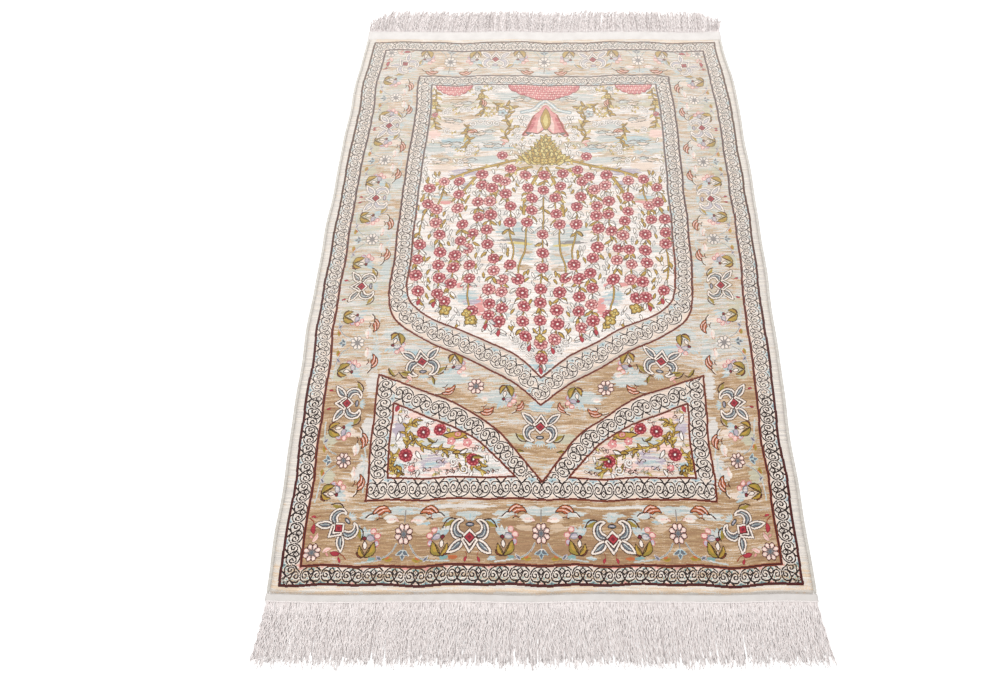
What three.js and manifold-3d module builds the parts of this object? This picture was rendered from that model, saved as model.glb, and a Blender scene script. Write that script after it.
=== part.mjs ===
// A small hand-knotted silk prayer rug, lying flat with both fringes combed out.
// The knotted cloth is one thin sheet. Its outline bulges a little towards the middle of the long
// sides and wavers by a millimetre, and the sheet lifts off the floor in a few low cockles.
// Each long side is finished with a whipped cord. Each end is finished with a flat-woven strip
// whose warps run on as the fringe.
// Millimetres, +X to the right, +Y to the far end, +Z up, the floor at Z 0.

import * as THREE from "three";
import { mergeVertices } from "three/addons/utils/BufferGeometryUtils.js";
import Module from "manifold-3d";

// Knotted cloth
const CLOTH_LENGTH = 949;
const CLOTH_THICKNESS = 2.6;
const CELLS_ACROSS = 20;
const CELLS_ALONG = 36;

// Gap that keeps each piece clear of the next
const PIECE_GAP = 0.3;

// Whipped side cords
const CORD_WIDTH = 4.6;
const CORD_HEIGHT = 3.2;
const CORD_SIDES = 8;

// Flat-woven end strips and the warps that run on from them
const STRIP_THICKNESS = 1.6;
const STRANDS_PER_END = 150;
const STRAND_WIDTH = 2.7;
const STRAND_HEIGHT = 1.5;
const STRAND_STEPS = 3;
const STRAND_ROOT = 3;
const STRAND_TIP_SCALE = 0.8;
const STRAND_EDGE_INSET = 2.4;

// Finished half widths, side cords included, at equal steps from the near end to the far end
const OUTLINE = [
  { left: 325.0, right: 325.5 },
  { left: 326.9, right: 324.4 },
  { left: 329.5, right: 325.6 },
  { left: 332.4, right: 328.8 },
  { left: 332.6, right: 330.9 },
  { left: 331.7, right: 333.1 },
  { left: 329.6, right: 333.8 },
  { left: 327.7, right: 333.4 },
  { left: 324.3, right: 331.8 },
  { left: 318.0, right: 321.8 },
];

// Small wavers along the edges: size, length of one wave and where it starts
const EDGE_WAVERS = {
  left: [{ size: 0.7, wave: 156, start: 20 }, { size: 0.4, wave: 94, start: 45 }],
  right: [{ size: 0.6, wave: 171, start: 70 }, { size: 0.4, wave: 102, start: 12 }],
  near: [{ size: 0.7, wave: 205, start: 30 }, { size: 0.3, wave: 124, start: 10 }],
  far: [{ size: 1.1, wave: 212, start: 90 }, { size: 0.5, wave: 136, start: 31 }],
};

// Low cockles in the sheet: middle, half length and half width, turn from +X and height.
// Between them the underside lies flat on the floor.
const COCKLES = [
  { x: -235, y: 320, length: 175, width: 62, turn: 80, height: 1.6 },
  { x: -120, y: 130, length: 200, width: 64, turn: 8, height: 1.4 },
  { x: 170, y: 165, length: 185, width: 66, turn: -12, height: 1.5 },
  { x: 255, y: 440, length: 170, width: 60, turn: 97, height: 1.7 },
  { x: 30, y: 330, length: 190, width: 70, turn: -6, height: 1.2 },
  { x: -120, y: 590, length: 200, width: 68, turn: 12, height: 1.5 },
  { x: 195, y: 680, length: 170, width: 64, turn: 22, height: 1.8 },
  { x: -235, y: 730, length: 160, width: 60, turn: 72, height: 1.9 },
  { x: -60, y: 845, length: 190, width: 62, turn: -5, height: 1.9 },
  { x: 180, y: 868, length: 150, width: 56, turn: 6, height: 1.6 },
];
const LEVEL_MARGIN = 45;

// The two ends. outward points away from the cloth along Y. splay moves the outermost tips
// sideways, sway is the combing drift that neighbours share, and corner is how far in from each
// side the tips are cut back to a rounded corner.
const ENDS = [
  {
    name: "fringe_near", station: 0, outward: -1, stripDepth: 9, strandLength: 66,
    splayLeft: 5, splayRight: 8, sway: 3.5, swayWave: 310, corner: 10, cornerCut: 4,
    lengthRagged: 3, seed: 3,
  },
  {
    name: "fringe_far", station: CLOTH_LENGTH, outward: 1, stripDepth: 22, strandLength: 55,
    splayLeft: -6, splayRight: 1, sway: 5, swayWave: 240, corner: 45, cornerCut: 24,
    lengthRagged: 5, seed: 8,
  },
];

// Colours
const IVORY_PILE = 0xd9c8b2;
const WHIPPED_SILK = 0xd8d6cf;
const WARP_SILK = 0xe6dcda;

const { Manifold, Mesh: SolidMesh } = await loadSolidLibrary();

async function loadSolidLibrary() {
  const library = await Module();
  library.setup();
  return library;
}

// A repeatable number from 0 to 1 for a counted thing
function scatter(count, seed) {
  const value = Math.sin(count * 12.9898 + seed * 78.233) * 43758.5453;
  return value - Math.floor(value);
}

function waver(waves, place) {
  let offset = 0;
  for (const { size, wave, start } of waves) {
    offset += size * Math.sin((2 * Math.PI * (place - start)) / wave);
  }
  return offset;
}

// Smooth curve through a column of the outline table, place measured from the near end
function outlineColumn(column, place) {
  const last = OUTLINE.length - 1;
  const station = THREE.MathUtils.clamp((place / CLOTH_LENGTH) * last, 0, last);
  const row = Math.min(Math.floor(station), last - 1);
  const value = (index) => OUTLINE[THREE.MathUtils.clamp(index, 0, last)][column];
  const slopeHere = (value(row + 1) - value(row - 1)) / 2;
  const slopeNext = (value(row + 2) - value(row)) / 2;
  const t = station - row;
  const t2 = t * t;
  const t3 = t2 * t;
  return (2 * t3 - 3 * t2 + 1) * value(row) + (t3 - 2 * t2 + t) * slopeHere
    + (3 * t2 - 2 * t3) * value(row + 1) + (t3 - t2) * slopeNext;
}

// Finished edge of the rug, side -1 for the left edge and 1 for the right
function finishedEdge(side, place) {
  const column = side < 0 ? "left" : "right";
  return side * (outlineColumn(column, place) + waver(EDGE_WAVERS[column], place));
}

// Edge of the knotted cloth itself, inside the side cord and the gap
function clothEdge(side, place) {
  return finishedEdge(side, place) - side * (CORD_WIDTH + PIECE_GAP);
}

function endLine(station, x) {
  const waves = station === 0 ? EDGE_WAVERS.near : EDGE_WAVERS.far;
  return station + waver(waves, x);
}

// Place along Y of a point that lies a share along (0 near, 1 far) between the two end lines
function placeAlong(x, along) {
  return THREE.MathUtils.lerp(endLine(0, x), endLine(CLOTH_LENGTH, x), along);
}

// Place on the cloth of a share across (0 left, 1 right) and a share along (0 near, 1 far)
function clothPoint(across, along) {
  const left = clothEdge(-1, along * CLOTH_LENGTH);
  const right = clothEdge(1, along * CLOTH_LENGTH);
  const x = THREE.MathUtils.lerp(left, right, across);
  return new THREE.Vector2(x, placeAlong(x, along));
}

// Height of the sheet's underside above the floor. The margin of the sheet lies level.
function liftAt(x, y) {
  let lift = 0;
  for (const { x: midX, y: midY, length, width, turn, height } of COCKLES) {
    const angle = THREE.MathUtils.degToRad(turn);
    const dx = x - midX;
    const dy = y - midY;
    const along = (dx * Math.cos(angle) + dy * Math.sin(angle)) / length;
    const across = (dy * Math.cos(angle) - dx * Math.sin(angle)) / width;
    const inside = Math.max(0, 1 - along * along - across * across);
    lift += height * inside * inside;
  }
  const inFromSides = Math.min(x - clothEdge(-1, y), clothEdge(1, y) - x);
  const inFromEnds = Math.min(y, CLOTH_LENGTH - y);
  const level = THREE.MathUtils.smoothstep(Math.min(inFromSides, inFromEnds), 0, LEVEL_MARGIN);
  return lift * level;
}

function solidGeometry(vertices, triangles) {
  const geometry = new THREE.BufferGeometry();
  geometry.setAttribute("position", new THREE.Float32BufferAttribute(vertices, 3));
  geometry.setIndex(triangles);
  return geometry;
}

// Closed thin slab on a grid. surface(across, along) gives { x, y, bottom, top }.
function gridSlab(cellsAcross, cellsAlong, surface) {
  const rowLength = cellsAcross + 1;
  const layer = rowLength * (cellsAlong + 1);
  const topPoints = [];
  const bottomPoints = [];
  for (let row = 0; row <= cellsAlong; row += 1) {
    for (let column = 0; column <= cellsAcross; column += 1) {
      const point = surface(column / cellsAcross, row / cellsAlong);
      topPoints.push(point.x, point.y, point.top);
      bottomPoints.push(point.x, point.y, point.bottom);
    }
  }
  const triangles = [];
  const addQuad = (a, b, c, d) => triangles.push(a, b, c, a, c, d);
  for (let row = 0; row < cellsAlong; row += 1) {
    for (let column = 0; column < cellsAcross; column += 1) {
      const corner = row * rowLength + column;
      const right = corner + 1;
      const far = corner + rowLength;
      addQuad(corner, right, far + 1, far);
      addQuad(layer + corner, layer + far, layer + far + 1, layer + right);
    }
  }
  for (let column = 0; column < cellsAcross; column += 1) {
    const near = column;
    const far = cellsAlong * rowLength + column;
    addQuad(layer + near, layer + near + 1, near + 1, near);
    addQuad(far, far + 1, layer + far + 1, layer + far);
  }
  for (let row = 0; row < cellsAlong; row += 1) {
    const left = row * rowLength;
    const right = left + cellsAcross;
    addQuad(left, left + rowLength, layer + left + rowLength, layer + left);
    addQuad(layer + right, layer + right + rowLength, right + rowLength, right);
  }
  return solidGeometry([...topPoints, ...bottomPoints], triangles);
}

// Closed tube through rings of points, each ring listed anticlockwise seen from the tube's far end
function loftRings(rings) {
  const sides = rings[0].length;
  const vertices = rings.flat().flatMap((point) => point.toArray());
  const triangles = [];
  for (let ring = 0; ring < rings.length - 1; ring += 1) {
    for (let side = 0; side < sides; side += 1) {
      const a = ring * sides + side;
      const b = ring * sides + ((side + 1) % sides);
      triangles.push(a, b, b + sides, a, b + sides, a + sides);
    }
  }
  const last = (rings.length - 1) * sides;
  for (let side = 1; side < sides - 1; side += 1) {
    triangles.push(0, side + 1, side);
    triangles.push(last, last + side, last + side + 1);
  }
  return { vertices, triangles };
}

function knottedCloth() {
  return gridSlab(CELLS_ACROSS, CELLS_ALONG, (across, along) => {
    const { x, y } = clothPoint(across, along);
    const bottom = liftAt(x, y);
    return { x, y, bottom, top: bottom + CLOTH_THICKNESS };
  });
}

// Whipped cord along one side, an oval with a flat that rests on the floor
function sideCord(side) {
  const rings = [];
  for (let step = 0; step <= CELLS_ALONG; step += 1) {
    const along = step / CELLS_ALONG;
    const middle = finishedEdge(side, along * CLOTH_LENGTH) - (side * CORD_WIDTH) / 2;
    const y = placeAlong(middle, along);
    const ring = [];
    for (let corner = 0; corner < CORD_SIDES; corner += 1) {
      const angle = (2 * Math.PI * (corner + 0.5)) / CORD_SIDES;
      const reach = 1 / Math.cos(Math.PI / CORD_SIDES);
      const x = middle - Math.cos(angle) * reach * (CORD_WIDTH / 2);
      const z = (1 + Math.sin(angle) * reach) * (CORD_HEIGHT / 2);
      ring.push(new THREE.Vector3(x, y, z));
    }
    rings.push(ring);
  }
  const { vertices, triangles } = loftRings(rings);
  return solidGeometry(vertices, triangles);
}

// Flat-woven strip beyond one end of the cloth. It has the cloth's own steps across, and one more
// at each side under the end of the cord, so that both pieces follow the same end line.
function endStrip(end) {
  const cells = CELLS_ACROSS + 2;
  const endShare = end.station / CLOTH_LENGTH;
  return gridSlab(cells, 1, (across, along) => {
    const clothShare = (across * cells - 1) / CELLS_ACROSS;
    let { x } = clothPoint(clothShare, endShare);
    if (clothShare < 0) x = finishedEdge(-1, end.station);
    if (clothShare > 1) x = finishedEdge(1, end.station);
    const outwards = end.outward > 0 ? along : 1 - along;
    const y = endLine(end.station, x) + end.outward * (PIECE_GAP + outwards * end.stripDepth);
    return { x, y, bottom: 0, top: STRIP_THICKNESS };
  });
}

// One warp lock: three-sided, its flat side down on the floor, narrower at the tip
function strandRings(end, index) {
  const share = (index + 0.5) / STRANDS_PER_END;
  const left = finishedEdge(-1, end.station) + STRAND_EDGE_INSET;
  const right = finishedEdge(1, end.station) - STRAND_EDGE_INSET;
  const rootX = THREE.MathUtils.lerp(left, right, share);
  const rootY = endLine(end.station, rootX) + end.outward * (PIECE_GAP + end.stripDepth);
  const inFromSide = Math.min(rootX - left, right - rootX);
  const cornerShare = 1 - THREE.MathUtils.smoothstep(inFromSide, 0, end.corner);
  const ragged = end.lengthRagged * (scatter(index, end.seed) - 0.5);
  const length = end.strandLength + ragged - end.cornerCut * cornerShare;
  const splay = THREE.MathUtils.lerp(-end.splayLeft, end.splayRight, share);
  const drift = end.sway * Math.sin((2 * Math.PI * rootX) / end.swayWave) + splay;
  const curl = (scatter(index, end.seed + 1) - 0.5) * (STRAND_WIDTH / 3);
  const rings = [];
  for (let step = 0; step <= STRAND_STEPS; step += 1) {
    const t = step / STRAND_STEPS;
    const scale = THREE.MathUtils.lerp(1, STRAND_TIP_SCALE, t);
    const x = rootX + drift * t * t + curl * Math.sin(Math.PI * 1.5 * t);
    const y = rootY + end.outward * THREE.MathUtils.lerp(-STRAND_ROOT, length, t);
    const half = (scale * STRAND_WIDTH) / 2;
    const ring = [
      new THREE.Vector3(x - half, y, 0),
      new THREE.Vector3(x, y, scale * STRAND_HEIGHT),
      new THREE.Vector3(x + half, y, 0),
    ];
    rings.push(end.outward > 0 ? ring : ring.reverse());
  }
  return rings;
}

function toSolid(geometry) {
  const bare = geometry.clone();
  bare.deleteAttribute("normal");
  bare.deleteAttribute("uv");
  const merged = mergeVertices(bare);
  return new Manifold(new SolidMesh({
    numProp: 3,
    vertProperties: new Float32Array(merged.attributes.position.array),
    triVerts: new Uint32Array(merged.index.array),
  }));
}

function fromSolid(solid) {
  const mesh = solid.getMesh();
  return solidGeometry(Array.from(mesh.vertProperties), Array.from(mesh.triVerts));
}

// Strip and strands of one end, fused at the strands' roots
function endFringe(end) {
  const vertices = [];
  const triangles = [];
  for (let index = 0; index < STRANDS_PER_END; index += 1) {
    const strand = loftRings(strandRings(end, index));
    const first = vertices.length / 3;
    vertices.push(...strand.vertices);
    triangles.push(...strand.triangles.map((corner) => corner + first));
  }
  const strands = toSolid(solidGeometry(vertices, triangles));
  return fromSolid(toSolid(endStrip(end)).add(strands));
}

function silk(color, roughness) {
  return new THREE.MeshStandardMaterial({ color, roughness, metalness: 0 });
}

function piece(name, geometry, material) {
  const mesh = new THREE.Mesh(geometry, material);
  mesh.name = name;
  return mesh;
}

const rug = new THREE.Group();
rug.add(piece("pile_cloth", knottedCloth(), silk(IVORY_PILE, 0.6)));
rug.add(piece("selvedge_left", sideCord(-1), silk(WHIPPED_SILK, 0.7)));
rug.add(piece("selvedge_right", sideCord(1), silk(WHIPPED_SILK, 0.7)));
for (const end of ENDS) {
  rug.add(piece(end.name, endFringe(end), silk(WARP_SILK, 0.75)));
}

// The origin is the middle of the rug's box, on the floor
const box = new THREE.Box3().setFromObject(rug);
const middle = box.getCenter(new THREE.Vector3());
rug.position.set(-middle.x, -middle.y, -box.min.z);

export default rug;
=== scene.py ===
"""Looks of a small silk prayer rug that lies flat with both fringes combed out.

The knotted cloth is one thin sheet. Its pattern is drawn knot by knot on a chart, as a rug's
cartoon is, from motifs that are functions of sizes in millimetres. The chart rides on the sheet's
faces as packed numbers, and the pile's material reads it back. The side cords, the flat-woven ends
and every fringe thread are meshes.
"""

import logging
import math
from collections.abc import Callable, Iterable, Sequence
from dataclasses import dataclass, field, replace
from enum import Enum, IntEnum

import bpy
import numpy as np
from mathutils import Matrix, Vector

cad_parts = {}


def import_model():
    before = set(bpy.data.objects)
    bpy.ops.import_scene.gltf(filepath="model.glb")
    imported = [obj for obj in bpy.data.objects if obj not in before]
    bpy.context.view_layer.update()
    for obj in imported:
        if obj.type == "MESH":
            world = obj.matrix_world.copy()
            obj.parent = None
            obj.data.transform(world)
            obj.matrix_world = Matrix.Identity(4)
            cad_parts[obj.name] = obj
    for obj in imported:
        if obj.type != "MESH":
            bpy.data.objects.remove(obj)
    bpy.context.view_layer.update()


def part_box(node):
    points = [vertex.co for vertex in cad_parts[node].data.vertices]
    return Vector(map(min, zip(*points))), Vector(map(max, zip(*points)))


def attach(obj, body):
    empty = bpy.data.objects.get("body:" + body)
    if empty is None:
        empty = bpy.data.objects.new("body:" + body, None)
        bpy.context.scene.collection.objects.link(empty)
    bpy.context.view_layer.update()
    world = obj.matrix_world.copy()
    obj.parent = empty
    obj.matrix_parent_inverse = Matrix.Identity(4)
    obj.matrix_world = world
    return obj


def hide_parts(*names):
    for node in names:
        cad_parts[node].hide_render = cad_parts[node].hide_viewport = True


LOG = logging.getLogger("silk_rug")

MM = 0.001
Points = np.ndarray
Path = Sequence[Sequence[float]]
Socket = bpy.types.NodeSocket
Node = bpy.types.Node
Tree = bpy.types.NodeTree

# The dyes of four knots are packed in each number that a face carries.
KNOTS_PER_NUMBER = 4


class Dye(IntEnum):
    """The dyed silks, numbered by their order in this list, each with its sRGB colour."""

    def __new__(cls, hex_code: str) -> "Dye":
        """Gives a dye its number on the chart and keeps its colour.

        Args:
            hex_code: Its sRGB colour.

        Returns:
            The dye.
        """
        dye = int.__new__(cls, len(cls.__members__))
        dye._value_ = len(cls.__members__)
        dye.hex_code = hex_code
        return dye

    BAND = "E9D1B7"
    IVORY = "F7EFEA"
    IVORY_SHADE = "DFD8D1"
    IVORY_BLUSH = "EAD6C6"
    CREAM = "F4E6DA"
    GUARD = "CBBFB3"
    TAN = "B99872"
    TAN_DEEP = "A58160"
    TAN_PALE = "D3B89C"
    MIST = "C4CAC6"
    SAGE = "C9C2AA"
    SKY = "AFC6CB"
    TEAL = "86A9A6"
    SLATE = "686E76"
    CHARCOAL = "2C1E1B"
    LAVENDER = "BDB0BC"
    PINK = "E39C98"
    BLUSH = "F2CFC4"
    ROSE = "C55F67"
    RED = "B23641"
    CRIMSON = "7E222E"
    MAROON = "4C1A16"
    BROWN = "41210F"
    SALMON = "C26B3E"
    RUST = "96462A"
    GOLD = "BA9540"
    OLIVE = "9C8638"
    OLIVE_DEEP = "665527"
    STRAW = "DDC87E"
    WHITE = "F8F1EA"
    GREY = "8D8683"
    BAND_PALE = "E8DFD5"


def linear_rgba(hex_code: str) -> tuple[float, float, float, float]:
    """Turns an sRGB hex colour to the linear values that the shaders take.

    Args:
        hex_code: Six hex digits.

    Returns:
        Linear red, green and blue, and an alpha of 1.
    """
    values = [int(hex_code[i : i + 2], 16) / 255 for i in (0, 2, 4)]
    red, green, blue = (
        v / 12.92 if v <= 0.04045 else ((v + 0.055) / 1.055) ** 2.4 for v in values
    )
    return red, green, blue, 1.0


def scatter(count: np.ndarray | float, seed: float) -> np.ndarray:
    """Gives repeatable numbers from 0 to 1 for counted things.

    Args:
        count: The counts.
        seed: Sets one use apart from another.

    Returns:
        One number for each count.
    """
    value = np.sin(np.asarray(count) * 12.9898 + seed * 78.233) * 43758.5453
    return value - np.floor(value)


def smoothstep(value: np.ndarray, low: float, high: float) -> np.ndarray:
    """Goes smoothly from 0 at low to 1 at high."""
    t = np.clip((value - low) / (high - low), 0, 1)
    return t * t * (3 - 2 * t)


@dataclass(frozen=True)
class Wave:
    """One regular waver of an edge, in millimetres."""

    size: float
    length: float
    start: float

    def at(self, place: np.ndarray) -> np.ndarray:
        """Gives the waver at a place along the edge."""
        return self.size * np.sin(2 * np.pi * (place - self.start) / self.length)


@dataclass(frozen=True)
class Cockle:
    """A low lift of the sheet off the floor, in millimetres and degrees."""

    x: float
    y: float
    length: float
    width: float
    turn: float
    height: float


@dataclass(frozen=True)
class ClothPlan:
    """The rug's outline and lie, in millimetres from the near end of the pile."""

    length: float = 949.0
    thickness: float = 2.6
    gap: float = 0.3
    cord_width: float = 4.6
    cord_height: float = 3.2
    level_margin: float = 45.0
    cells: tuple[int, int] = (20, 36)
    left: tuple[float, ...] = (325.0, 326.9, 329.5, 332.4, 332.6, 331.7, 329.6, 327.7, 324.3,
                               318.0)
    right: tuple[float, ...] = (325.5, 324.4, 325.6, 328.8, 330.9, 333.1, 333.8, 333.4, 331.8,
                                321.8)
    left_waves: tuple[Wave, ...] = (Wave(0.7, 156, 20), Wave(0.4, 94, 45))
    right_waves: tuple[Wave, ...] = (Wave(0.6, 171, 70), Wave(0.4, 102, 12))
    near_waves: tuple[Wave, ...] = (Wave(0.7, 205, 30), Wave(0.3, 124, 10))
    far_waves: tuple[Wave, ...] = (Wave(1.1, 212, 90), Wave(0.5, 136, 31))
    cockles: tuple[Cockle, ...] = (
        Cockle(-235, 320, 175, 62, 80, 1.6),
        Cockle(-120, 130, 200, 64, 8, 1.4),
        Cockle(170, 165, 185, 66, -12, 1.5),
        Cockle(255, 440, 170, 60, 97, 1.7),
        Cockle(30, 330, 190, 70, -6, 1.2),
        Cockle(-120, 590, 200, 68, 12, 1.5),
        Cockle(195, 680, 170, 64, 22, 1.8),
        Cockle(-235, 730, 160, 60, 72, 1.9),
        Cockle(-60, 845, 190, 62, -5, 1.9),
        Cockle(180, 868, 150, 56, 6, 1.6),
    )

    def column(self, side: int, place: np.ndarray) -> np.ndarray:
        """Gives the finished half width from the outline's stations, on a smooth curve.

        Args:
            side: -1 for the left edge, 1 for the right.
            place: Distances from the near end.

        Returns:
            Half widths, without the small wavers.
        """
        values = np.array(self.left if side < 0 else self.right)
        last = len(values) - 1
        station = np.clip(np.asarray(place) / self.length * last, 0, last)
        row = np.minimum(station.astype(int), last - 1)
        before, after = np.clip(row - 1, 0, last), np.clip(row + 2, 0, last)
        slope_here = (values[row + 1] - values[before]) / 2
        slope_next = (values[after] - values[row]) / 2
        t = station - row
        return ((2 * t**3 - 3 * t**2 + 1) * values[row] + (t**3 - 2 * t**2 + t) * slope_here
                + (3 * t**2 - 2 * t**3) * values[row + 1] + (t**3 - t**2) * slope_next)

    def finished_edge(self, side: int, place: np.ndarray) -> np.ndarray:
        """Gives X of the rug's outer edge, side cord included."""
        waves = self.left_waves if side < 0 else self.right_waves
        return side * (self.column(side, place) + sum(w.at(place) for w in waves))

    def cloth_edge(self, side: int, place: np.ndarray) -> np.ndarray:
        """Gives X of the knotted cloth's own edge."""
        return self.finished_edge(side, place) - side * (self.cord_width + self.gap)

    def end_line(self, far: bool, x: np.ndarray) -> np.ndarray:
        """Gives Y of the near or far end of the knotted cloth."""
        waves = self.far_waves if far else self.near_waves
        return (self.length if far else 0.0) + sum(w.at(np.asarray(x)) for w in waves)

    def place_along(self, x: np.ndarray, along: np.ndarray) -> np.ndarray:
        """Gives Y of a point that lies a share along between the two end lines."""
        near, far = self.end_line(False, x), self.end_line(True, x)
        return near + (far - near) * along

    def cloth_point(self, across: np.ndarray, along: np.ndarray) -> tuple[Points, Points]:
        """Places a share across and a share along on the cloth.

        Args:
            across: Shares from the left edge to the right.
            along: Shares from the near end to the far.

        Returns:
            X and Y.
        """
        left = self.cloth_edge(-1, along * self.length)
        right = self.cloth_edge(1, along * self.length)
        x = left + (right - left) * across
        return x, self.place_along(x, along)

    def lift(self, x: np.ndarray, y: np.ndarray) -> np.ndarray:
        """Gives the height of the sheet's underside above the floor.

        Args:
            x: X of the places.
            y: Y of the places.

        Returns:
            The heights.
        """
        total = np.zeros(np.shape(x))
        for c in self.cockles:
            turn = math.radians(c.turn)
            dx, dy = x - c.x, y - c.y
            along = (dx * math.cos(turn) + dy * math.sin(turn)) / c.length
            across = (dy * math.cos(turn) - dx * math.sin(turn)) / c.width
            total += c.height * np.maximum(0, 1 - along**2 - across**2) ** 2
        sides = np.minimum(x - self.cloth_edge(-1, y), self.cloth_edge(1, y) - x)
        ends = np.minimum(y, self.length - y)
        return total * smoothstep(np.minimum(sides, ends), 0, self.level_margin)

    def origin(self) -> tuple[float, float]:
        """Gives the X and Y, in this plan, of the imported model's own origin.

        Returns:
            X and Y.
        """
        across, along = np.meshgrid(
            np.linspace(0, 1, self.cells[0] + 1), np.linspace(0, 1, self.cells[1] + 1)
        )
        x, y = self.cloth_point(across, along)
        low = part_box("pile_cloth")[0]
        return float(x.min() - low.x / MM), float(y.min() - low.y / MM)


@dataclass
class Canvas:
    """A grid of dyes that motifs are drawn on, measured in millimetres."""

    left: float
    near: float
    pitch_x: float
    pitch_y: float
    columns: int
    rows: int
    ground: Dye = Dye.BAND
    clip: np.ndarray | None = None
    dyes: np.ndarray = field(init=False)

    def __post_init__(self) -> None:
        """Lays out the grid's middles and fills it with its ground."""
        self.x = self.left + (np.arange(self.columns) + 0.5) * self.pitch_x
        self.y = self.near + (np.arange(self.rows) + 0.5) * self.pitch_y
        self.dyes = np.full((self.rows, self.columns), self.ground, np.uint8)

    def window(self, low: Sequence[float], high: Sequence[float]) -> tuple[slice, slice]:
        """Finds the rows and columns whose middles lie in a box.

        Args:
            low: The box's low corner.
            high: The box's high corner.

        Returns:
            The rows and the columns.
        """
        columns = np.searchsorted(self.x, (low[0], high[0]))
        rows = np.searchsorted(self.y, (low[1], high[1]))
        return slice(*rows), slice(*columns)

    def paint(self, where: tuple[slice, slice], mask: np.ndarray, dye: int) -> None:
        """Dyes the knots of a window that a mask names, inside the clip if there is one.

        Args:
            where: The window.
            mask: The knots to dye in it.
            dye: Their dye.
        """
        if self.clip is not None:
            mask = mask & self.clip[where]
        self.dyes[where][mask] = dye

    def inside(self, outline: Points) -> tuple[tuple[slice, slice], np.ndarray]:
        """Finds the knots inside a closed outline.

        Args:
            outline: Corners of the outline, one row each.

        Returns:
            A window, and a mask of the knots inside the outline there.
        """
        where = self.window(outline.min(0), outline.max(0))
        x, y = self.x[where[1]][None, :], self.y[where[0]][:, None]
        mask = np.zeros((y.size, x.size), bool)
        for (x0, y0), (x1, y1) in zip(outline, np.roll(outline, -1, 0)):
            if y0 != y1:
                crossed = (y0 > y) != (y1 > y)
                mask ^= crossed & (x < x0 + (y - y0) * (x1 - x0) / (y1 - y0))
        return where, mask

    def fill(self, outline: Points, dye: int) -> None:
        """Dyes the inside of a closed outline."""
        self.paint(*self.inside(outline), dye)

    def stroke(self, line: Points, width: float, dye: int) -> None:
        """Dyes a line of a given width.

        Args:
            line: Points of the line.
            width: Its width.
            dye: Its dye.
        """
        reach = width / 2
        for start, end in zip(line[:-1], line[1:]):
            where = self.window(np.minimum(start, end) - reach, np.maximum(start, end) + reach)
            x, y = self.x[where[1]][None, :], self.y[where[0]][:, None]
            run = end - start
            span = max(float(run @ run), 1e-9)
            t = np.clip(((x - start[0]) * run[0] + (y - start[1]) * run[1]) / span, 0, 1)
            apart = (x - start[0] - t * run[0]) ** 2 + (y - start[1] - t * run[1]) ** 2
            self.paint(where, apart <= reach * reach, dye)


def smooth_line(points: Path, steps: int, closed: bool = False) -> Points:
    """Draws a smooth curve through a few points.

    Args:
        points: The points that the curve passes.
        steps: Steps between two points.
        closed: Whether the last point leads back to the first.

    Returns:
        The points of the curve.
    """
    base = np.array(points, float)
    if closed:
        ring = np.vstack([base[-1], base, base[0], base[1]])
    else:
        ring = np.vstack([2 * base[0] - base[1], base, 2 * base[-1] - base[-2]])
    t = np.linspace(0, 1, steps, endpoint=False)[:, None]
    runs = [
        0.5 * (2 * b + (c - a) * t + (2 * a - 5 * b + 4 * c - d) * t**2
               + (3 * b - a - 3 * c + d) * t**3)
        for a, b, c, d in zip(ring[:-3], ring[1:-2], ring[2:-1], ring[3:])
    ]
    if not closed:
        runs.append(base[-1:])
    return np.vstack(runs)


def oval(x: float, y: float, wide: float, high: float, sides: int = 16) -> Points:
    """Gives an oval's outline from its middle and its half sizes."""
    angle = np.linspace(0, 2 * np.pi, sides, endpoint=False)
    return np.stack([x + wide * np.cos(angle), y + high * np.sin(angle)], 1)


def blade(start: Sequence[float], end: Sequence[float], width: float, bend: float = 0.0,
          belly: float = 0.45) -> Points:
    """Gives the outline of a leaf or petal, pointed at both ends.

    Args:
        start: Foot of the leaf.
        end: Tip of the leaf.
        width: Largest width.
        bend: How far its middle line bows to the left of the way from foot to tip.
        belly: Where along the leaf it is widest.

    Returns:
        The corners of the outline.
    """
    start, end = np.array(start, float), np.array(end, float)
    run = end - start
    side = np.array([-run[1], run[0]]) / max(float(np.hypot(*run)), 1e-9)
    t = np.linspace(0, 1, 11)
    power = math.log(0.5) / math.log(belly)
    half = width / 2 * np.sin(np.pi * t**power) ** 0.85
    middle = start + t[:, None] * run + (bend * np.sin(np.pi * t))[:, None] * side
    left, right = middle + half[:, None] * side, middle - half[:, None] * side
    return np.vstack([left, right[-2:0:-1]])


def spiral(x: float, y: float, outer: float, inner: float, start: float, turns: float) -> Points:
    """Gives a spiral from its outer end to its inner end.

    Args:
        x: Middle.
        y: Middle.
        outer: Radius where it starts.
        inner: Radius where it ends.
        start: Angle of its outer end, in degrees.
        turns: Turns to its inner end, negative for clockwise.

    Returns:
        The points of the line.
    """
    t = np.linspace(0, 1, max(8, int(abs(turns) * 18)))
    angle = math.radians(start) + 2 * np.pi * turns * t
    radius = outer + (inner - outer) * t
    return np.stack([x + radius * np.cos(angle), y + radius * np.sin(angle)], 1)


@dataclass(frozen=True)
class Mark:
    """One shape or line of a motif, in millimetres about the motif's middle."""

    points: Points
    fill: int | None = None
    edge: int | None = None
    width: float = 0.8
    closed: bool = True
    twin: bool = False


Motif = tuple[Mark, ...]


def leaf(start: Sequence[float], end: Sequence[float], breadth: float, fill: int,
         edge: int | None = None, bend: float = 0.0, twin: bool = False,
         belly: float = 0.45) -> Mark:
    """Gives a leaf or petal that is pointed at both ends."""
    return Mark(blade(start, end, breadth, bend, belly), fill, edge, 1.0, True, twin)


def disc(x: float, y: float, wide: float, high: float, fill: int,
         edge: int | None = None, twin: bool = False) -> Mark:
    """Gives an oval."""
    return Mark(oval(x, y, wide, high), fill, edge, 1.0, True, twin)


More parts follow.
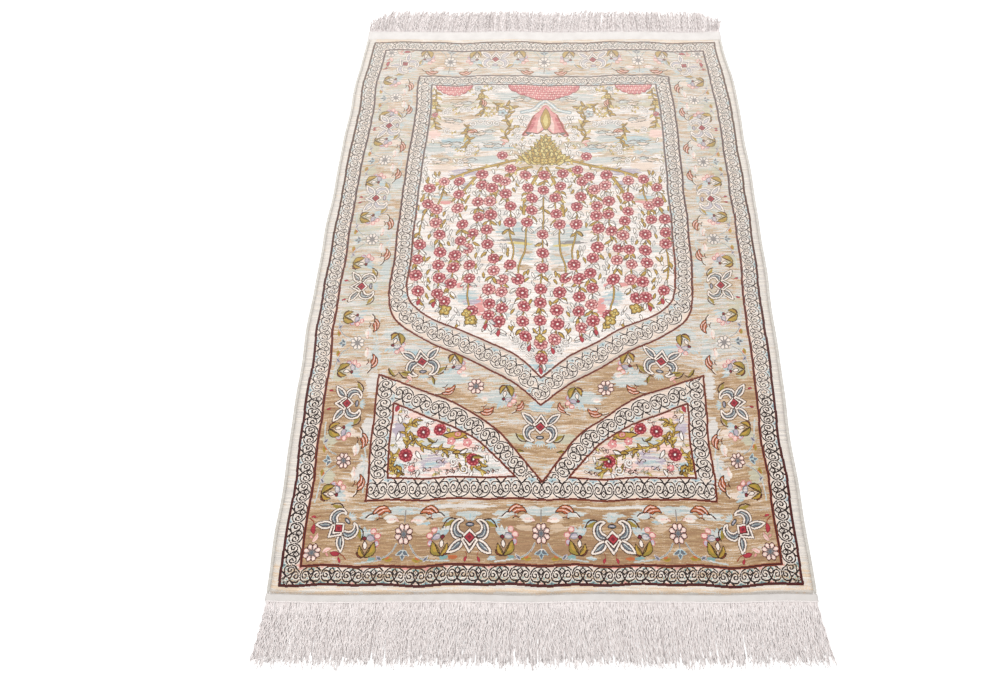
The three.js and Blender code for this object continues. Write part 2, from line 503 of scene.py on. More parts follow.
def thread(points: Path, width: float, dye: int, twin: bool = False) -> Mark:
    """Gives a smooth line."""
    return Mark(smooth_line(points, 4), None, dye, width, False, twin)


def banded(outline: Points, twin: bool = False) -> Motif:
    """Gives a slate shape with a cream band round it between two dark lines."""
    return (Mark(outline, Dye.SLATE, Dye.BROWN, 4.4, True, twin),
            Mark(outline, None, Dye.CREAM, 2.4, True, twin))


def wheel(count: int, radius: float, dye: int, size: float, turn: float = 0.5) -> Motif:
    """Gives round spots on a ring, the first turned by a share of their spacing."""
    angles = [(number + turn) * 2 * math.pi / count for number in range(count)]
    return tuple(disc(radius * math.cos(a), radius * math.sin(a), size, size, dye) for a in angles)


def fan(count: int, spread: float, inner: float, outer: float, breadth: float,
        fills: Sequence[int], edge: int | None, y: float = 0.0) -> Motif:
    """Gives a fan of pointed leaves about the upright line.

    Args:
        count: Number of leaves, two or more.
        spread: Angle from the first to the last, in degrees.
        inner: Distance from the foot to where the leaves start.
        outer: Distance from the foot to the tips.
        breadth: Width of a leaf.
        fills: Dyes that the leaves take in turn.
        edge: Dye of their edges.
        y: Height of the foot.

    Returns:
        The leaves.
    """
    marks = []
    for number in range(count):
        angle = math.radians(spread / 2 * (2 * number / (count - 1) - 1))
        start, end = ((math.sin(angle) * reach, y + math.cos(angle) * reach)
                      for reach in (inner, outer))
        marks.append(leaf(start, end, breadth, fills[number % len(fills)], edge))
    return tuple(marks)


def polar(radius: float, share: float) -> tuple[float, float]:
    """Gives the point at a radius and a share of a full turn."""
    return radius * math.cos(2 * math.pi * share), radius * math.sin(2 * math.pi * share)


HORN = smooth_line([(6.2, 2.0), (8.6, -1.2), (15, -2.6), (21.4, 1.6), (24, 9.6), (21.6, 17.8),
                    (15.2, 22.6), (9.4, 21.6), (14, 18), (15.8, 12.6), (13.6, 7.4), (9.2, 4.8)],
                   3, True)
CHEVRON = np.array([(-9.8, -3.4), (0, -18.6), (9.8, -3.4), (6.8, -1), (0, -10), (-6.8, -1)])
DIAMOND = np.array([(0, -1), (1, 0), (0, 1), (-1, 0)])

SPRAY = fan(5, 100, 0, 11, 3.0, (Dye.SKY, Dye.MIST), None)
PALMETTE = (
    *fan(5, 76, 3, 13, 2.8, (Dye.SKY, Dye.MIST), None, 18.5),
    leaf((21, 22.6), (34, 14), 5.6, Dye.OLIVE, None, -1.4, True),
    thread([(18.5, 23.2), (25.5, 24.2), (31.5, 20), (35, 13)], 1.8, Dye.BROWN, True),
    *banded(HORN, True),
    thread([(11, 1), (17, 2.6), (19.8, 9.4), (18, 16.4)], 1.1, Dye.MIST, True),
    *banded(blade((9, -3), (27.5, -19.5), 9.6, -0.8), True),
    thread([(13.5, -7), (18.5, -11.8), (22.5, -15.2)], 1.1, Dye.MIST, True),
    *banded(CHEVRON),
    Mark(DIAMOND * (9.4, 10) + (0, 2), Dye.CREAM, Dye.BROWN, 0.9),
    Mark(DIAMOND * (7.1, 6.8), Dye.RED, Dye.MAROON, 1.2),
    Mark(DIAMOND * (3.4, 3.2), Dye.CRIMSON),
    disc(0, 16.4, 5.4, 2.6, Dye.SLATE, Dye.CHARCOAL),
    disc(0, 16.6, 3.4, 0.9, Dye.LAVENDER),
)
ROSETTE = (
    *wheel(8, 7.2, Dye.MAROON, 4.0),
    *(leaf(polar(2.4, k / 8 + 1 / 16), polar(11.4, k / 8 + 1 / 16), 6.0, Dye.BLUSH, Dye.MAROON,
           belly=0.64) for k in range(8)),
    *wheel(8, 8.0, Dye.CREAM, 1.3),
    *(thread([(0, 0), polar(5.6, k / 8)], 0.9, Dye.GREY) for k in range(8)),
    disc(0, 0, 2.5, 2.5, Dye.SLATE, Dye.GREY),
)
CUP_FLOWER = (
    leaf((-3, 9), (-10, 25), 5.2, Dye.SKY, None, 1),
    leaf((-1.5, 9), (-3.5, 22.5), 4.8, Dye.MIST, Dye.SKY),
    leaf((0, 9), (3.2, 20), 4.4, Dye.SKY, Dye.MIST, -0.8),
    disc(5.4, 9.4, 5.2, 3.8, Dye.LAVENDER, Dye.GREY),
    thread([(1.5, 13.4), (6.5, 12.4), (10.4, 8), (10.6, 5)], 1.2, Dye.SLATE),
    disc(8, 17.6, 3.4, 3.0, Dye.BLUSH, Dye.ROSE),
    disc(13.4, 11.4, 3.6, 3.2, Dye.BLUSH, Dye.ROSE),
    disc(12.6, 2.6, 2.8, 3.8, Dye.LAVENDER, Dye.ROSE),
    leaf((0, -13), (-11, -6.5), 4.0, Dye.RUST, Dye.BROWN, 1.6),
    leaf((-1, -13.5), (-8, 1), 6.0, Dye.GOLD, Dye.BROWN, 1.8),
    leaf((0, -14), (10, 4.5), 9.4, Dye.OLIVE, Dye.BROWN, -2.6),
    leaf((3, -9), (9, 1), 4.0, Dye.GOLD, None, -1.4),
    thread([(0, -12), (4, -6), (6.4, 0.5)], 1.3, Dye.BROWN),
    thread([(-1.4, -11), (-5, -6), (-6.4, -1)], 1.1, Dye.OLIVE_DEEP),
    leaf((-0.8, -4.4), (-1.6, 6), 5.2, Dye.CREAM, Dye.BROWN),
    disc(-2.2, 8.8, 2.4, 2.2, Dye.CRIMSON, Dye.BROWN),
)
SALMON_LEAF = (
    Mark(smooth_line([(-10.5, -2.5), (-6.5, 4.2), (1, 7.2), (8.5, 4), (13, -3.2), (6, -1.8),
                      (1, -4.4), (-5, -1.6)], 3, True), Dye.SALMON, Dye.BROWN, 1.1),
    thread([(-7, 0.2), (-1, 4.6), (5, 4.4)], 1.3, Dye.BLUSH),
    thread([(-6, -0.8), (0.5, 2.8), (9, 2.2)], 1.2, Dye.BROWN),
    thread([(-3, -1.8), (3, 0.6), (9, 0.2)], 1.2, Dye.BLUSH),
    thread([(-2, -3), (3, -1.4), (9.5, -1.8)], 1.0, Dye.RUST),
    thread([(-9, -1), (-13.5, -2), (-18, -5.4)], 1.6, Dye.BROWN),
    thread([(-9.5, -3), (-13.5, -4), (-17, -7)], 1.2, Dye.CREAM),
    thread([(-4.5, -9.6), (-0.5, -8), (4, -9.4)], 1.3, Dye.BROWN),
    thread([(-1, -8.4), (-2, -5), (-1, -2.6)], 1.1, Dye.RUST),
)
HOOK_LEAF = (
    leaf((0, 0), (9.5, 5.6), 4.6, Dye.OLIVE, None, 1.8),
    thread([(-1, 0.5), (3.5, 5), (9, 7), (12, 3.4)], 1.3, Dye.BROWN),
)
WISP = (
    leaf((-9, 1), (8, 2.4), 6.4, Dye.IVORY_SHADE, None, 0.8),
    leaf((-6, -2), (8, -1.4), 5.0, Dye.CREAM, None, -0.6),
    leaf((-3, 0), (5, 0.6), 3.0, Dye.BLUSH),
)
PINK_LEAF = (
    leaf((-8, -2), (8, 4), 7.4, Dye.BLUSH, Dye.TAN_DEEP, 1.5),
    thread([(-5, -1), (1, 2.4), (6, 3)], 1.1, Dye.PINK),
    leaf((-2, -2), (3, -9), 4.6, Dye.PINK, Dye.TAN_DEEP),
)
CRIMSON_BUD = (
    leaf((-7, -5), (2, 6), 6.4, Dye.RED, Dye.CRIMSON, -1),
    thread([(2, 6), (6.5, 8.6), (13, 9)], 1.7, Dye.RUST),
)
UNDERGROWTH = (
    thread([(8, -12), (13, -21), (21.5, -28), (34, -32), (56, -34.5)], 1.9, Dye.MIST, True),
    thread([(8, -12), (13, -21), (21.5, -28), (34, -32)], 0.8, Dye.GREY, True),
    leaf((25, -32), (31, -26.5), 3.4, Dye.SLATE, Dye.LAVENDER, twin=True),
    thread([(0, -12), (0, -21)], 1.0, Dye.GREY),
    leaf((0, -19), (0, -31), 5.4, Dye.SLATE, Dye.SKY),
    leaf((-0.5, -19), (-8, -25), 4.8, Dye.SLATE, Dye.SKY, 1.5, True),
    leaf((12, -30), (21, -31.5), 4.2, Dye.OLIVE, Dye.GOLD, twin=True),
    leaf((15, -27.5), (21, -30.5), 2.6, Dye.SALMON, None, twin=True),
    thread([(0, 14), (0, 30)], 0.9, Dye.GREY),
    thread([(0, 30), (9, 32.5), (18, 30), (27, 32), (42, 33)], 2.2, Dye.MIST, True),
    leaf((4, 30), (10, 25), 3.4, Dye.SKY, None, twin=True),
    leaf((7, 14), (13, 19), 4.2, Dye.BLUSH, Dye.TAN_DEEP, twin=True),
)
RED_FLOWER = (
    *wheel(8, 6.6, Dye.BLUSH, 3.5),
    *(leaf(polar(1.2, k / 8), polar(9.3, k / 8), 6.2, Dye.ROSE, Dye.CRIMSON, belly=0.66)
      for k in range(8)),
    disc(0, 0, 4.3, 4.3, Dye.RED, Dye.CRIMSON),
    *wheel(5, 2.7, Dye.CRIMSON, 1.1),
    *wheel(8, 6.4, Dye.BLUSH, 0.6, 0.0),
    disc(0, 0, 1.5, 1.5, Dye.WHITE),
)


def redyed(motif: Motif, dyes: dict) -> Motif:
    """Gives a motif with some of its dyes exchanged.

    Args:
        motif: The motif.
        dyes: The new dye for each dye that changes.

    Returns:
        The motif in its new dyes.
    """
    return tuple(
        replace(mark, fill=dyes.get(mark.fill, mark.fill), edge=dyes.get(mark.edge, mark.edge))
        for mark in motif
    )


# The second of each pair is a paler, greyer copy for the far end and the upper sides: painted
# sheen.
PALMETTES = (PALMETTE, redyed(PALMETTE, {Dye.SLATE: Dye.LAVENDER, Dye.BROWN: Dye.GREY}))
ROSETTES = (ROSETTE, redyed(ROSETTE, {Dye.MAROON: Dye.GREY, Dye.BLUSH: Dye.CREAM,
                                      Dye.SLATE: Dye.GREY}))
FADED_FLOWER = redyed(RED_FLOWER, {Dye.RED: Dye.ROSE, Dye.ROSE: Dye.PINK})
DEEP_FLOWER = redyed(RED_FLOWER, {Dye.RED: Dye.CRIMSON, Dye.ROSE: Dye.RED, Dye.BLUSH: Dye.PINK})
GOLD_BLOOM = (
    *wheel(4, 4.4, Dye.OLIVE_DEEP, 4.2),
    *wheel(4, 4.1, Dye.GOLD, 3.1),
    *wheel(4, 3.6, Dye.STRAW, 1.4),
    disc(0, 0, 1.8, 1.8, Dye.STRAW, Dye.OLIVE_DEEP),
)
GOLD_LEAF = (leaf((0, 0), (1, 13), 5.4, Dye.GOLD, Dye.BROWN, 1.4),)
STRAW_LEAF = (leaf((0, 0), (1, 12), 4.6, Dye.STRAW, Dye.OLIVE, -1.2),)
SLIM_GREY = (leaf((0, 0), (0.5, 14), 4.6, Dye.IVORY_SHADE, Dye.SLATE, 0.9),)
SLIM_GREEN = (leaf((0, 0), (0.5, 14), 4.8, Dye.GOLD, Dye.BROWN, 0.9),)
SLIM_WHITE = (leaf((0, 0), (0.3, 14), 4.8, Dye.WHITE, Dye.BROWN, 0.6),)
TWIG = (
    thread([(0, -6), (1, 0), (0, 6)], 0.9, Dye.OLIVE_DEEP),
    leaf((0.5, -2), (5.5, 2.5), 3.0, Dye.SAGE, Dye.GREY),
    leaf((0.5, 1), (-5, 5), 3.0, Dye.STRAW, Dye.OLIVE),
)
FILIGREE = (
    thread([(-6, -3), (-2, -1.4), (1.6, 2.6), (6, 2), (5.4, -1.6), (2.4, -0.8)], 0.9, Dye.BROWN),
    leaf((-1.6, -1), (-4.4, 4.4), 3.2, Dye.BLUSH, Dye.BROWN),
)
ACANTHUS = (
    leaf((-8, -3), (6, 3), 5.4, Dye.GOLD, Dye.BROWN, -2.6),
    leaf((-3, 0), (-1, 8), 3.4, Dye.STRAW, Dye.BROWN, 1.4),
    leaf((2, 2), (8, 7), 3.0, Dye.OLIVE, Dye.BROWN, -1.0),
    thread([(5, 3), (8, 0), (6.4, -3), (4, -1.6)], 1.1, Dye.BROWN),
    thread([(-7, -3), (-3, -5), (0, -3.4)], 1.0, Dye.BROWN),
)
GOLD_PLUME = (
    Mark(blade((17, 2), (-19, -2), 11.0, -2.4), Dye.GOLD, Dye.BROWN, 1.6),
    leaf((10, 5), (16, 9), 4.0, Dye.GOLD, Dye.BROWN),
    leaf((-8, -4), (-11, -11), 4.4, Dye.STRAW, Dye.BROWN),
    leaf((4, -5), (6, -11), 3.6, Dye.GOLD, Dye.BROWN),
    thread([(14, 1), (0, -3), (-16, -2)], 1.1, Dye.BROWN),
    disc(3, 1, 4.6, 3.6, Dye.PINK, Dye.RUST),
    disc(3, 1, 1.4, 1.4, Dye.GOLD),
)
STRAW_TWIG = (
    thread([(-5, -4), (0, 0), (6, 2)], 1.2, Dye.GOLD),
    leaf((-2, -1), (-3, 5), 3.2, Dye.STRAW, Dye.GOLD),
    leaf((2, 0.5), (5, -4.5), 3.2, Dye.STRAW, Dye.OLIVE_DEEP),
)
TINY_BLOOM = (*wheel(5, 2.7, Dye.ROSE, 2.2), *wheel(5, 2.7, Dye.PINK, 1.4),
              disc(0, 0, 1.2, 1.2, Dye.CREAM))
SKY_BLOOM = (*wheel(5, 2.9, Dye.GREY, 2.3), *wheel(5, 2.9, Dye.SKY, 1.6),
             disc(0, 0, 1.3, 1.3, Dye.SLATE))
CURL = tuple(Mark(spiral(0, 0, 7.5, 1.5, -60, -1.35), None, dye, width, False)
             for dye, width in ((Dye.GREY, 3.4), (Dye.WHITE, 1.8)))

CLOUD_BAND = (
    leaf((-15, 0), (2, 3), 7.0, Dye.MIST, Dye.GREY, 2.0),
    leaf((-3, 1), (15, -1), 6.0, Dye.IVORY_BLUSH, Dye.OLIVE_DEEP, -2.0),
    thread([(-18, 2), (-10, 6), (-3, 4), (4, 6.5), (11, 3), (18, 4.5)], 1.1, Dye.BROWN),
    thread([(-12, -4), (-3, -5), (5, -3.6), (14, -5.4)], 1.0, Dye.GREY),
)
VEIL = smooth_line([(0, 44), (5, 40), (10, 30), (19, 20), (25, 6), (30, -10), (38, -26), (31, -27),
                    (22, -19), (14, -21), (6, -14), (0, -7)], 4)
PENDANT = (
    Mark(np.vstack([VEIL, VEIL[::-1] * (-1, 1)]), Dye.PINK, Dye.ROSE, 1.4),
    leaf((29, -22), (15, 18), 10, Dye.ROSE, None, -2, True),
    leaf((13, -18), (9, 20), 8, Dye.BLUSH, None, 1.5, True),
    thread([(19, 20), (24, 6), (29, -10), (36, -25)], 2.6, Dye.RUST, True),
    thread([(38, -26), (31, -27), (22, -19), (14, -21), (6, -14), (0, -7)], 1.6, Dye.BROWN, True),
    disc(28, -21, 4.2, 2.4, Dye.SLATE, Dye.BROWN, True),
    *(thread([(2, 53), (10, 46), (20, 33), (40, 25)], width, dye, True)
      for width, dye in ((7.4, Dye.GREY), (5.6, Dye.SKY), (1.4, Dye.WHITE))),
    leaf((0, -12), (0, 38), 17, Dye.GOLD, Dye.OLIVE_DEEP),
    leaf((0, -6), (0, 26), 9, Dye.STRAW, Dye.OLIVE),
)
FROND = fan(3, 84, 0, 14, 6.4, (Dye.STRAW, Dye.GOLD, Dye.STRAW), Dye.OLIVE_DEEP)


@dataclass(frozen=True)
class Pen:
    """Draws motifs in their own frame at a place on the canvas. A motif's +y is its top."""

    canvas: Canvas
    x: float = 0.0
    y: float = 0.0
    turn: float = 0.0
    scale: float = 1.0
    flip: bool = False
    stretch: float = 1.0

    def place(self, points: Points) -> Points:
        """Moves a motif's points to the canvas.

        Args:
            points: Points in the motif's own frame.

        Returns:
            The points on the canvas.
        """
        local = np.array(points, float) * (self.scale, self.scale * self.stretch)
        if self.flip:
            local = local * (-1, 1)
        angle = math.radians(self.turn)
        turned = local @ np.array(
            [[math.cos(angle), math.sin(angle)], [-math.sin(angle), math.cos(angle)]]
        )
        return turned + (self.x, self.y)

    def at(self, x: float, y: float, turn: float = 0.0, scale: float = 1.0,
           flip: bool = False) -> "Pen":
        """Gives a pen at a place in this pen's own frame.

        Args:
            x: X of the place.
            y: Y of the place.
            turn: Turn of the new pen, in degrees, anticlockwise.
            scale: Its scale.
            flip: Whether it draws mirror images.

        Returns:
            The new pen.
        """
        (spot,) = self.place(np.array([[x, y]]))
        way = -turn if self.flip else turn
        return Pen(self.canvas, spot[0], spot[1], self.turn + way, self.scale * scale,
                   self.flip != flip, self.stretch)

    def sides(self, twin: bool = True) -> tuple["Pen", ...]:
        """Gives this pen, and its mirror image where a twin is wanted."""
        return (self, self.at(0, 0, flip=True)) if twin else (self,)

    def fill(self, outline: Points, dye: int) -> None:
        """Dyes the inside of an outline."""
        self.canvas.fill(self.place(outline), dye)

    def line(self, points: Points, width: float, dye: int, closed: bool = False) -> None:
        """Dyes a line.

        Args:
            points: Points of the line.
            width: Its width.
            dye: Its dye.
            closed: Whether it leads back to its start.
        """
        placed = self.place(points)
        if closed:
            placed = np.vstack([placed, placed[:1]])
        self.canvas.stroke(placed, width * self.scale, dye)

    def draw(self, motif: Motif) -> None:
        """Draws a motif's marks in order, each twin with its mirror image.

        Args:
            motif: The motif.
        """
        for mark in motif:
            for pen in self.sides(mark.twin):
                if mark.fill is not None:
                    pen.fill(mark.points, mark.fill)
                if mark.edge is not None:
                    pen.line(mark.points, mark.width, mark.edge, mark.closed)

    def arrange(self, rows: Iterable[Sequence]) -> None:
        """Draws motifs at their places, each with its mirror image across the upright line.

        Args:
            rows: For each motif, the motif and then its spots: x, y, turn in degrees and scale.
        """
        for motif, *spots in rows:
            for spot in spots:
                for pen in self.sides():
                    pen.at(*spot).draw(motif)


class Lines(Enum):
    """Widths of a scroll stripe's dark lines, in millimetres."""

    FINE = 1.15
    FIRM = 1.45
    BOLD = 1.75


@dataclass
class GuardStripe:
    """The narrow scroll stripe: scrolls that cross under a row of domes, in millimetres."""

    line: float
    repeat: float = 25.2
    half_width: float = 11.2
    fine: float = 0.2

    DOME = ((-12.6, 1.0), (-11, 5), (-6.4, 8.6), (0, 9.8), (6.4, 8.6), (11, 5), (12.6, 1.0))
    SCROLL = ((-6.6, -11.2), (0, -4.4), (2.2, 0.4), (4.8, 4.4), (8.8, 4.4), (10.4, 0.8),
              (8.8, -2.6), (6, -2.2), (5.3, 0.4), (7.4, 1.4))
    SWAG = ((0, -4.4), (3.6, -6.6), (8.2, -7), (11.6, -4), (12.6, 1.0))

    def __post_init__(self) -> None:
        """Draws one repeat on a fine tile of its own."""
        columns, rows = round(self.repeat / self.fine), round(2 * self.half_width / self.fine)
        self.tile = Canvas(-self.repeat / 2, -self.half_width, self.fine, self.fine, columns,
                           rows, Dye.CREAM)
        pens = [Pen(self.tile, shift * self.repeat) for shift in (-1, 0, 1)]
        for draw in (self.grounds, self.scrolls, self.diamonds):
            for pen in pens:
                draw(pen)

    def grounds(self, pen: Pen) -> None:
        """Lays the sky fans, the blush corners and the tan of the domes.

        Args:
            pen: The pen, at the middle of a crossing.
        """
        half, edge = self.repeat / 2, self.half_width
        for outline, dye in (
            (((4.6, -edge), (20.6, -edge), (20, -6), (half, 5), (5.2, -6)), Dye.SKY),
            (((-6.2, -edge), (6.2, -edge), (0, -4.6)), Dye.IVORY_BLUSH),
            (((2.5, edge), (7, 8.6), (half, 3), (18.2, 8.6), (22.7, edge)), Dye.IVORY_BLUSH),
            (oval(0, 1.4, 6.5, 7.4, 14), Dye.GUARD),
            (oval(7.6, 0.6, 3.6, 3.6, 10), Dye.TAN_PALE),
            (oval(-7.6, 0.6, 3.6, 3.6, 10), Dye.SAGE),
        ):
            pen.fill(np.array(outline), dye)

    def scrolls(self, pen: Pen) -> None:
        """Draws both scrolls of one crossing, the swags under them and the dome over it.

        Args:
            pen: The pen, at the middle of a crossing.
        """
        for runs, pens, casing in (((self.SCROLL, self.SWAG), pen.sides(), 1.7),
                                   ((self.DOME,), (pen,), 1.6)):
            for extra, dye in ((casing, Dye.CREAM), (0.0, Dye.CHARCOAL)):
                for side in pens:
                    for points in runs:
                        side.line(smooth_line(points, 5), self.line + extra, dye)

    def diamonds(self, pen: Pen) -> None:
        """Sets the diamond over the crossing and the spots in the fans.

        Args:
            pen: The pen, at the middle of a crossing.
        """
        pen.fill(oval(12.6, -8.4, 1.1, 1.1, 8), Dye.SLATE)
        diamond = DIAMOND * (3.3, 3.6) + (0, 4.4)
        pen.fill(diamond, Dye.CREAM)
        pen.line(diamond, self.line * 0.85, Dye.CHARCOAL, closed=True)
        pen.fill(oval(0, 4.4, 0.8, 0.8, 8), Dye.CHARCOAL)

    def read(self, along: np.ndarray, across: np.ndarray, repeat: float) -> np.ndarray:
        """Reads the dyes of the stripe.

        Args:
            along: Places along the stripe, 0 at a crossing.
            across: Places across it, up to half_width on each side of its middle.
            repeat: Length of one repeat that fits the stripe's run.

        Returns:
            The dye of each place.
        """
        share = np.mod(along / repeat + 0.5, 1.0)
        column = np.minimum((share * self.tile.columns).astype(int), self.tile.columns - 1)
        row = ((across + self.half_width) / self.fine).astype(int)
        return self.tile.dyes[np.clip(row, 0, self.tile.rows - 1), column]


@dataclass(frozen=True)
class Rect:
    """A rectangle on the chart, in millimetres."""

    half_width: float
    near: float
    far: float

    def corners(self) -> Points:
        """Gives the corners, anticlockwise from the near left."""
        w, n, f = self.half_width, self.near, self.far
        return np.array([(-w, n), (w, n), (w, f), (-w, f)])


# Each row is a motif and its spots: x, y, then turn and scale where they aren't 0 and 1.
ROSETTE_REPEAT = (
    (SALMON_LEAF, (-31, 27, 6)),
    (WISP, (-17.5, 17)),
    (CUP_FLOWER, (-45, -14)),
    (CRIMSON_BUD, (-75, -31, 60, 0.5)),
)
CORNER = (
    (CRIMSON_BUD, (27, -27, -10)),
    (PINK_LEAF, (14, -33, 50, 0.9)),
)
SADDLE = (
    (CUP_FLOWER, (118, 302, 180, 0.9)),
    (SALMON_LEAF, (124, 259, 150, 0.9)),
    (HOOK_LEAF, (144, 270, 40)),
    (ROSETTE, (87, 265)),
    (WISP, (74, 248, 0, 0.8), (104, 282, 0, 0.8)),
    (SALMON_LEAF, (72, 229, 160, 0.9)),
    (CUP_FLOWER, (47, 253, 185, 0.9)),
    (SALMON_LEAF, (28, 234, 120, 0.75)),
    (HOOK_LEAF, (22, 172, -30)),
    (SPRAY, (16, 186, 160, 0.9)),
    (CUP_FLOWER, (199, 334, 200, 0.9)),
    (HOOK_LEAF, (206, 292, 200, 1.2), (187, 287, 150)),
    (PINK_LEAF, (178, 276, 20, 0.7)),
    (SPRAY, (130, 282, 40, 0.9), (62, 285)),
)
PANEL = (
    (GOLD_PLUME, (110, 197, 172, 0.95)),
    (ACANTHUS, (163, 216, 130, 0.8)),
    (DEEP_FLOWER, (152, 201, 10, 0.92), (131, 204, 30, 0.86), (173, 169, 0, 0.95),
     (87, 162, 20, 0.9)),
    (CRIMSON_BUD, (190, 235, 60, 0.8)),
    (TINY_BLOOM, (115, 187, 0, 1.2), (94, 185, 0, 1.3), (165, 152)),
    (HOOK_LEAF, (146, 194, 180, 1.1)),
    (ACANTHUS, (106, 170, 160, 0.9), (100, 149, 20, 0.95), (122, 171, 200, 0.8), (74, 156, 0, 0.8),
     (181, 150, 200, 0.85), (168, 187, 100, 0.75)),
    (FILIGREE, (113, 154, 60, 0.9), (118, 147, 170, 0.9), (136, 172, 20, 0.8), (85, 178, 150, 0.9),
     (146, 214, 160, 0.9), (178, 224, 80, 0.9), (163, 160, 120, 0.9), (128, 160, 0, 0.9),
     (146, 152, 180, 0.9)),
    (HOOK_LEAF, (74, 164, -30, 1.2)),
    (CURL, (112, 158, 0, 0.8), (99, 149, 60, 0.8)),
    (SLIM_WHITE, (186, 188, 10), (183, 212, -20), (160, 176, 150), (104, 170, 60, 0.9)),
)
PANEL_VINES = (
    ((191, 149), (193, 158), (189, 168), (180, 172)),
    ((172, 180), (171, 190), (175, 200), (173, 211), (164, 214)),
    ((168, 199), (158, 186), (143, 179), (121, 176), (104, 172), (95, 167), (86, 154), (72, 145)),
    ((176, 144), (186, 146), (190, 156)),
)
GARLANDS = (
    ((184, 822), (183, 806), (186, 788), (181, 768), (184, 750), (180, 734)),
    ((112, 826), (104, 808), (110, 790), (103, 774), (108, 760)),
    ((134, 744), (126, 732), (130, 718), (122, 706), (127, 690)),
    ((60, 706), (66, 724), (58, 742), (66, 758), (60, 776)),
    ((88, 792), (76, 782), (62, 786), (52, 778)),
)
BOUGHS = (
    ((10, 660), (42, 664), (80, 652), (118, 640), (150, 626), (176, 604), (186, 580)),
    ((20, 652), (46, 640), (62, 618), (74, 590), (80, 552), (78, 520)),
    ((4, 652), (16, 622), (27, 590), (30, 556)),
    ((96, 644), (112, 618), (124, 596), (130, 566)),
)
HANGING_LEAVES = (SLIM_WHITE, SLIM_GREEN, SLIM_GREY, SLIM_WHITE)
UPPER_NICHE = (
    (GOLD_BLOOM, (186, 790, 0, 0.8), (98, 368, 0, 1.15), (104, 379, 30, 0.9), (134, 386, 20, 1.1),
     (0, 340, 45, 0.9)),
    (CURL, (34, 334, 0, 0.9), (24, 322, 120, 0.8), (15, 312, 60, 0.7)),
    (RED_FLOWER, (184, 764, 0, 0.55)),
    (SALMON_LEAF, (104, 790, 80, 0.8)),
    (GOLD_BLOOM, (107, 806, 0, 0.8)),
    (SKY_BLOOM, (112, 824, 0, 1.3)),
    (CURL, (121, 744, 0, 0.95), (107, 749, 40, 0.8), (94, 745, 90, 0.9), (81, 744, 180, 0.9)),
    (SKY_BLOOM, (72, 768, 0, 1.7)),
    (GOLD_BLOOM, (48, 736, 0, 0.7)),
    (RED_FLOWER, (67, 674, 0, 0.95)),
    (SALMON_LEAF, (118, 726, 10, 0.8)),
    (PINK_LEAF, (66, 704, 0, 0.9)),
    (SPRAY, (88, 722), (150, 676)),
    (CLOUD_BAND, (38, 800), (140, 790, 0, 1.1), (152, 752, 10), (100, 722, -6), (152, 700, 0, 1.1),
     (84, 694, 8), (164, 664, -8, 0.9), (122, 664, 6, 0.9)),
)
# Each row is a dye and its wisps: middle x and y, half width and half height.
PALE_CLOUDS = (
    (Dye.TAN, (150, 798, 38, 11)), (Dye.SAGE, (154, 786, 40, 5)),
    (Dye.TAN, (38, 790, 24, 10), (132, 760, 30, 6), (74, 740, 26, 5), (160, 676, 22, 6)),
    (Dye.MIST, (62, 806, 24, 10), (118, 738, 30, 9)), (Dye.IVORY_BLUSH, (150, 742, 30, 10)),
    (Dye.SKY, (142, 706, 30, 13)), (Dye.MIST, (104, 712, 24, 9)), (Dye.SKY, (76, 690, 26, 9)),
    (Dye.MIST, (176, 690, 18, 14)), (Dye.IVORY_BLUSH, (158, 650, 26, 10)),
    (Dye.MIST, (94, 664, 30, 9)), (Dye.LAVENDER, (126, 640, 26, 9)),
    (Dye.BLUSH, (182, 720, 14, 10)), (Dye.TAN, (154, 588, 18, 13)),
    (Dye.LAVENDER, (122, 612, 16, 8)), (Dye.SKY, (40, 524, 30, 15)),
    (Dye.MIST, (38, 512, 30, 8), (27, 488, 17, 30)), (Dye.STRAW, (34, 500, 18, 3)),
    (Dye.SKY, (102, 404, 18, 14)), (Dye.PINK, (86, 392, 8, 18), (108, 426, 20, 6)),
    (Dye.MIST, (0, 452, 14, 6), (162, 492, 24, 7), (60, 372, 22, 6)), (Dye.SKY, (0, 300, 16, 12)),
    (Dye.MIST, (172, 560, 18, 6)), (Dye.TAN, (26, 486, 14, 6)), (Dye.SKY, (26, 472, 14, 4)),
    (Dye.TAN, (27, 458, 13, 6)), (Dye.GREY, (44, 505, 22, 3)), (Dye.MIST, (52, 530, 16, 6)),
    (Dye.LAVENDER, (98, 398, 14, 4)), (Dye.SKY, (156, 590, 14, 4)), (Dye.PINK, (150, 580, 12, 3)),
)
BORDER_WISPS = (
    (Dye.MIST, *((x, y, 24, 6) for x in (0, 167) for y in (97, 865))),
    (Dye.IVORY_SHADE, *((x, y, 12, 3) for x in (28, 139, 196) for y in (99, 863)),
     *((226, y, 9, 22) for y in (150, 205, 270))),
    (Dye.MIST, *((226, y, 8, 20) for y in (315, 455, 620, 770))),
    (Dye.SAGE, *((272, y, 10, 12) for y in (140, 190, 285, 380, 470, 550, 640, 690, 775))),
    (Dye.IVORY_BLUSH, *((252, y, 20, 6) for y in (118, 200, 300, 370, 470, 540, 630, 700, 840))),
    (Dye.MIST, *((x, 92, 16, 5) for x in (44, 90, 128, 212))),
    (Dye.SKY, *((x, 84, 10, 4) for x in (60, 112, 145))),
    (Dye.IVORY_SHADE, (100, 102, 60, 3)),
    (Dye.TAN_PALE, *((x, y, 12, 5) for x in (20, 147) for y in (76, 88))),
    *((dye, (x, 40, 6, 2.6)) for x, dye in (
        (24, Dye.OLIVE), (36, Dye.TEAL), (60, Dye.SKY), (107, Dye.SALMON), (118, Dye.TEAL),
        (140, Dye.OLIVE), (190, Dye.OLIVE), (204, Dye.TEAL))),
    (Dye.MIST, (120, 275, 30, 12), (60, 250, 26, 10)),
    (Dye.SKY, (0, 236, 20, 12), (170, 320, 30, 10)),
    (Dye.MIST, (200, 345, 16, 12)),
    (Dye.SAGE, (30, 190, 18, 8)),
)
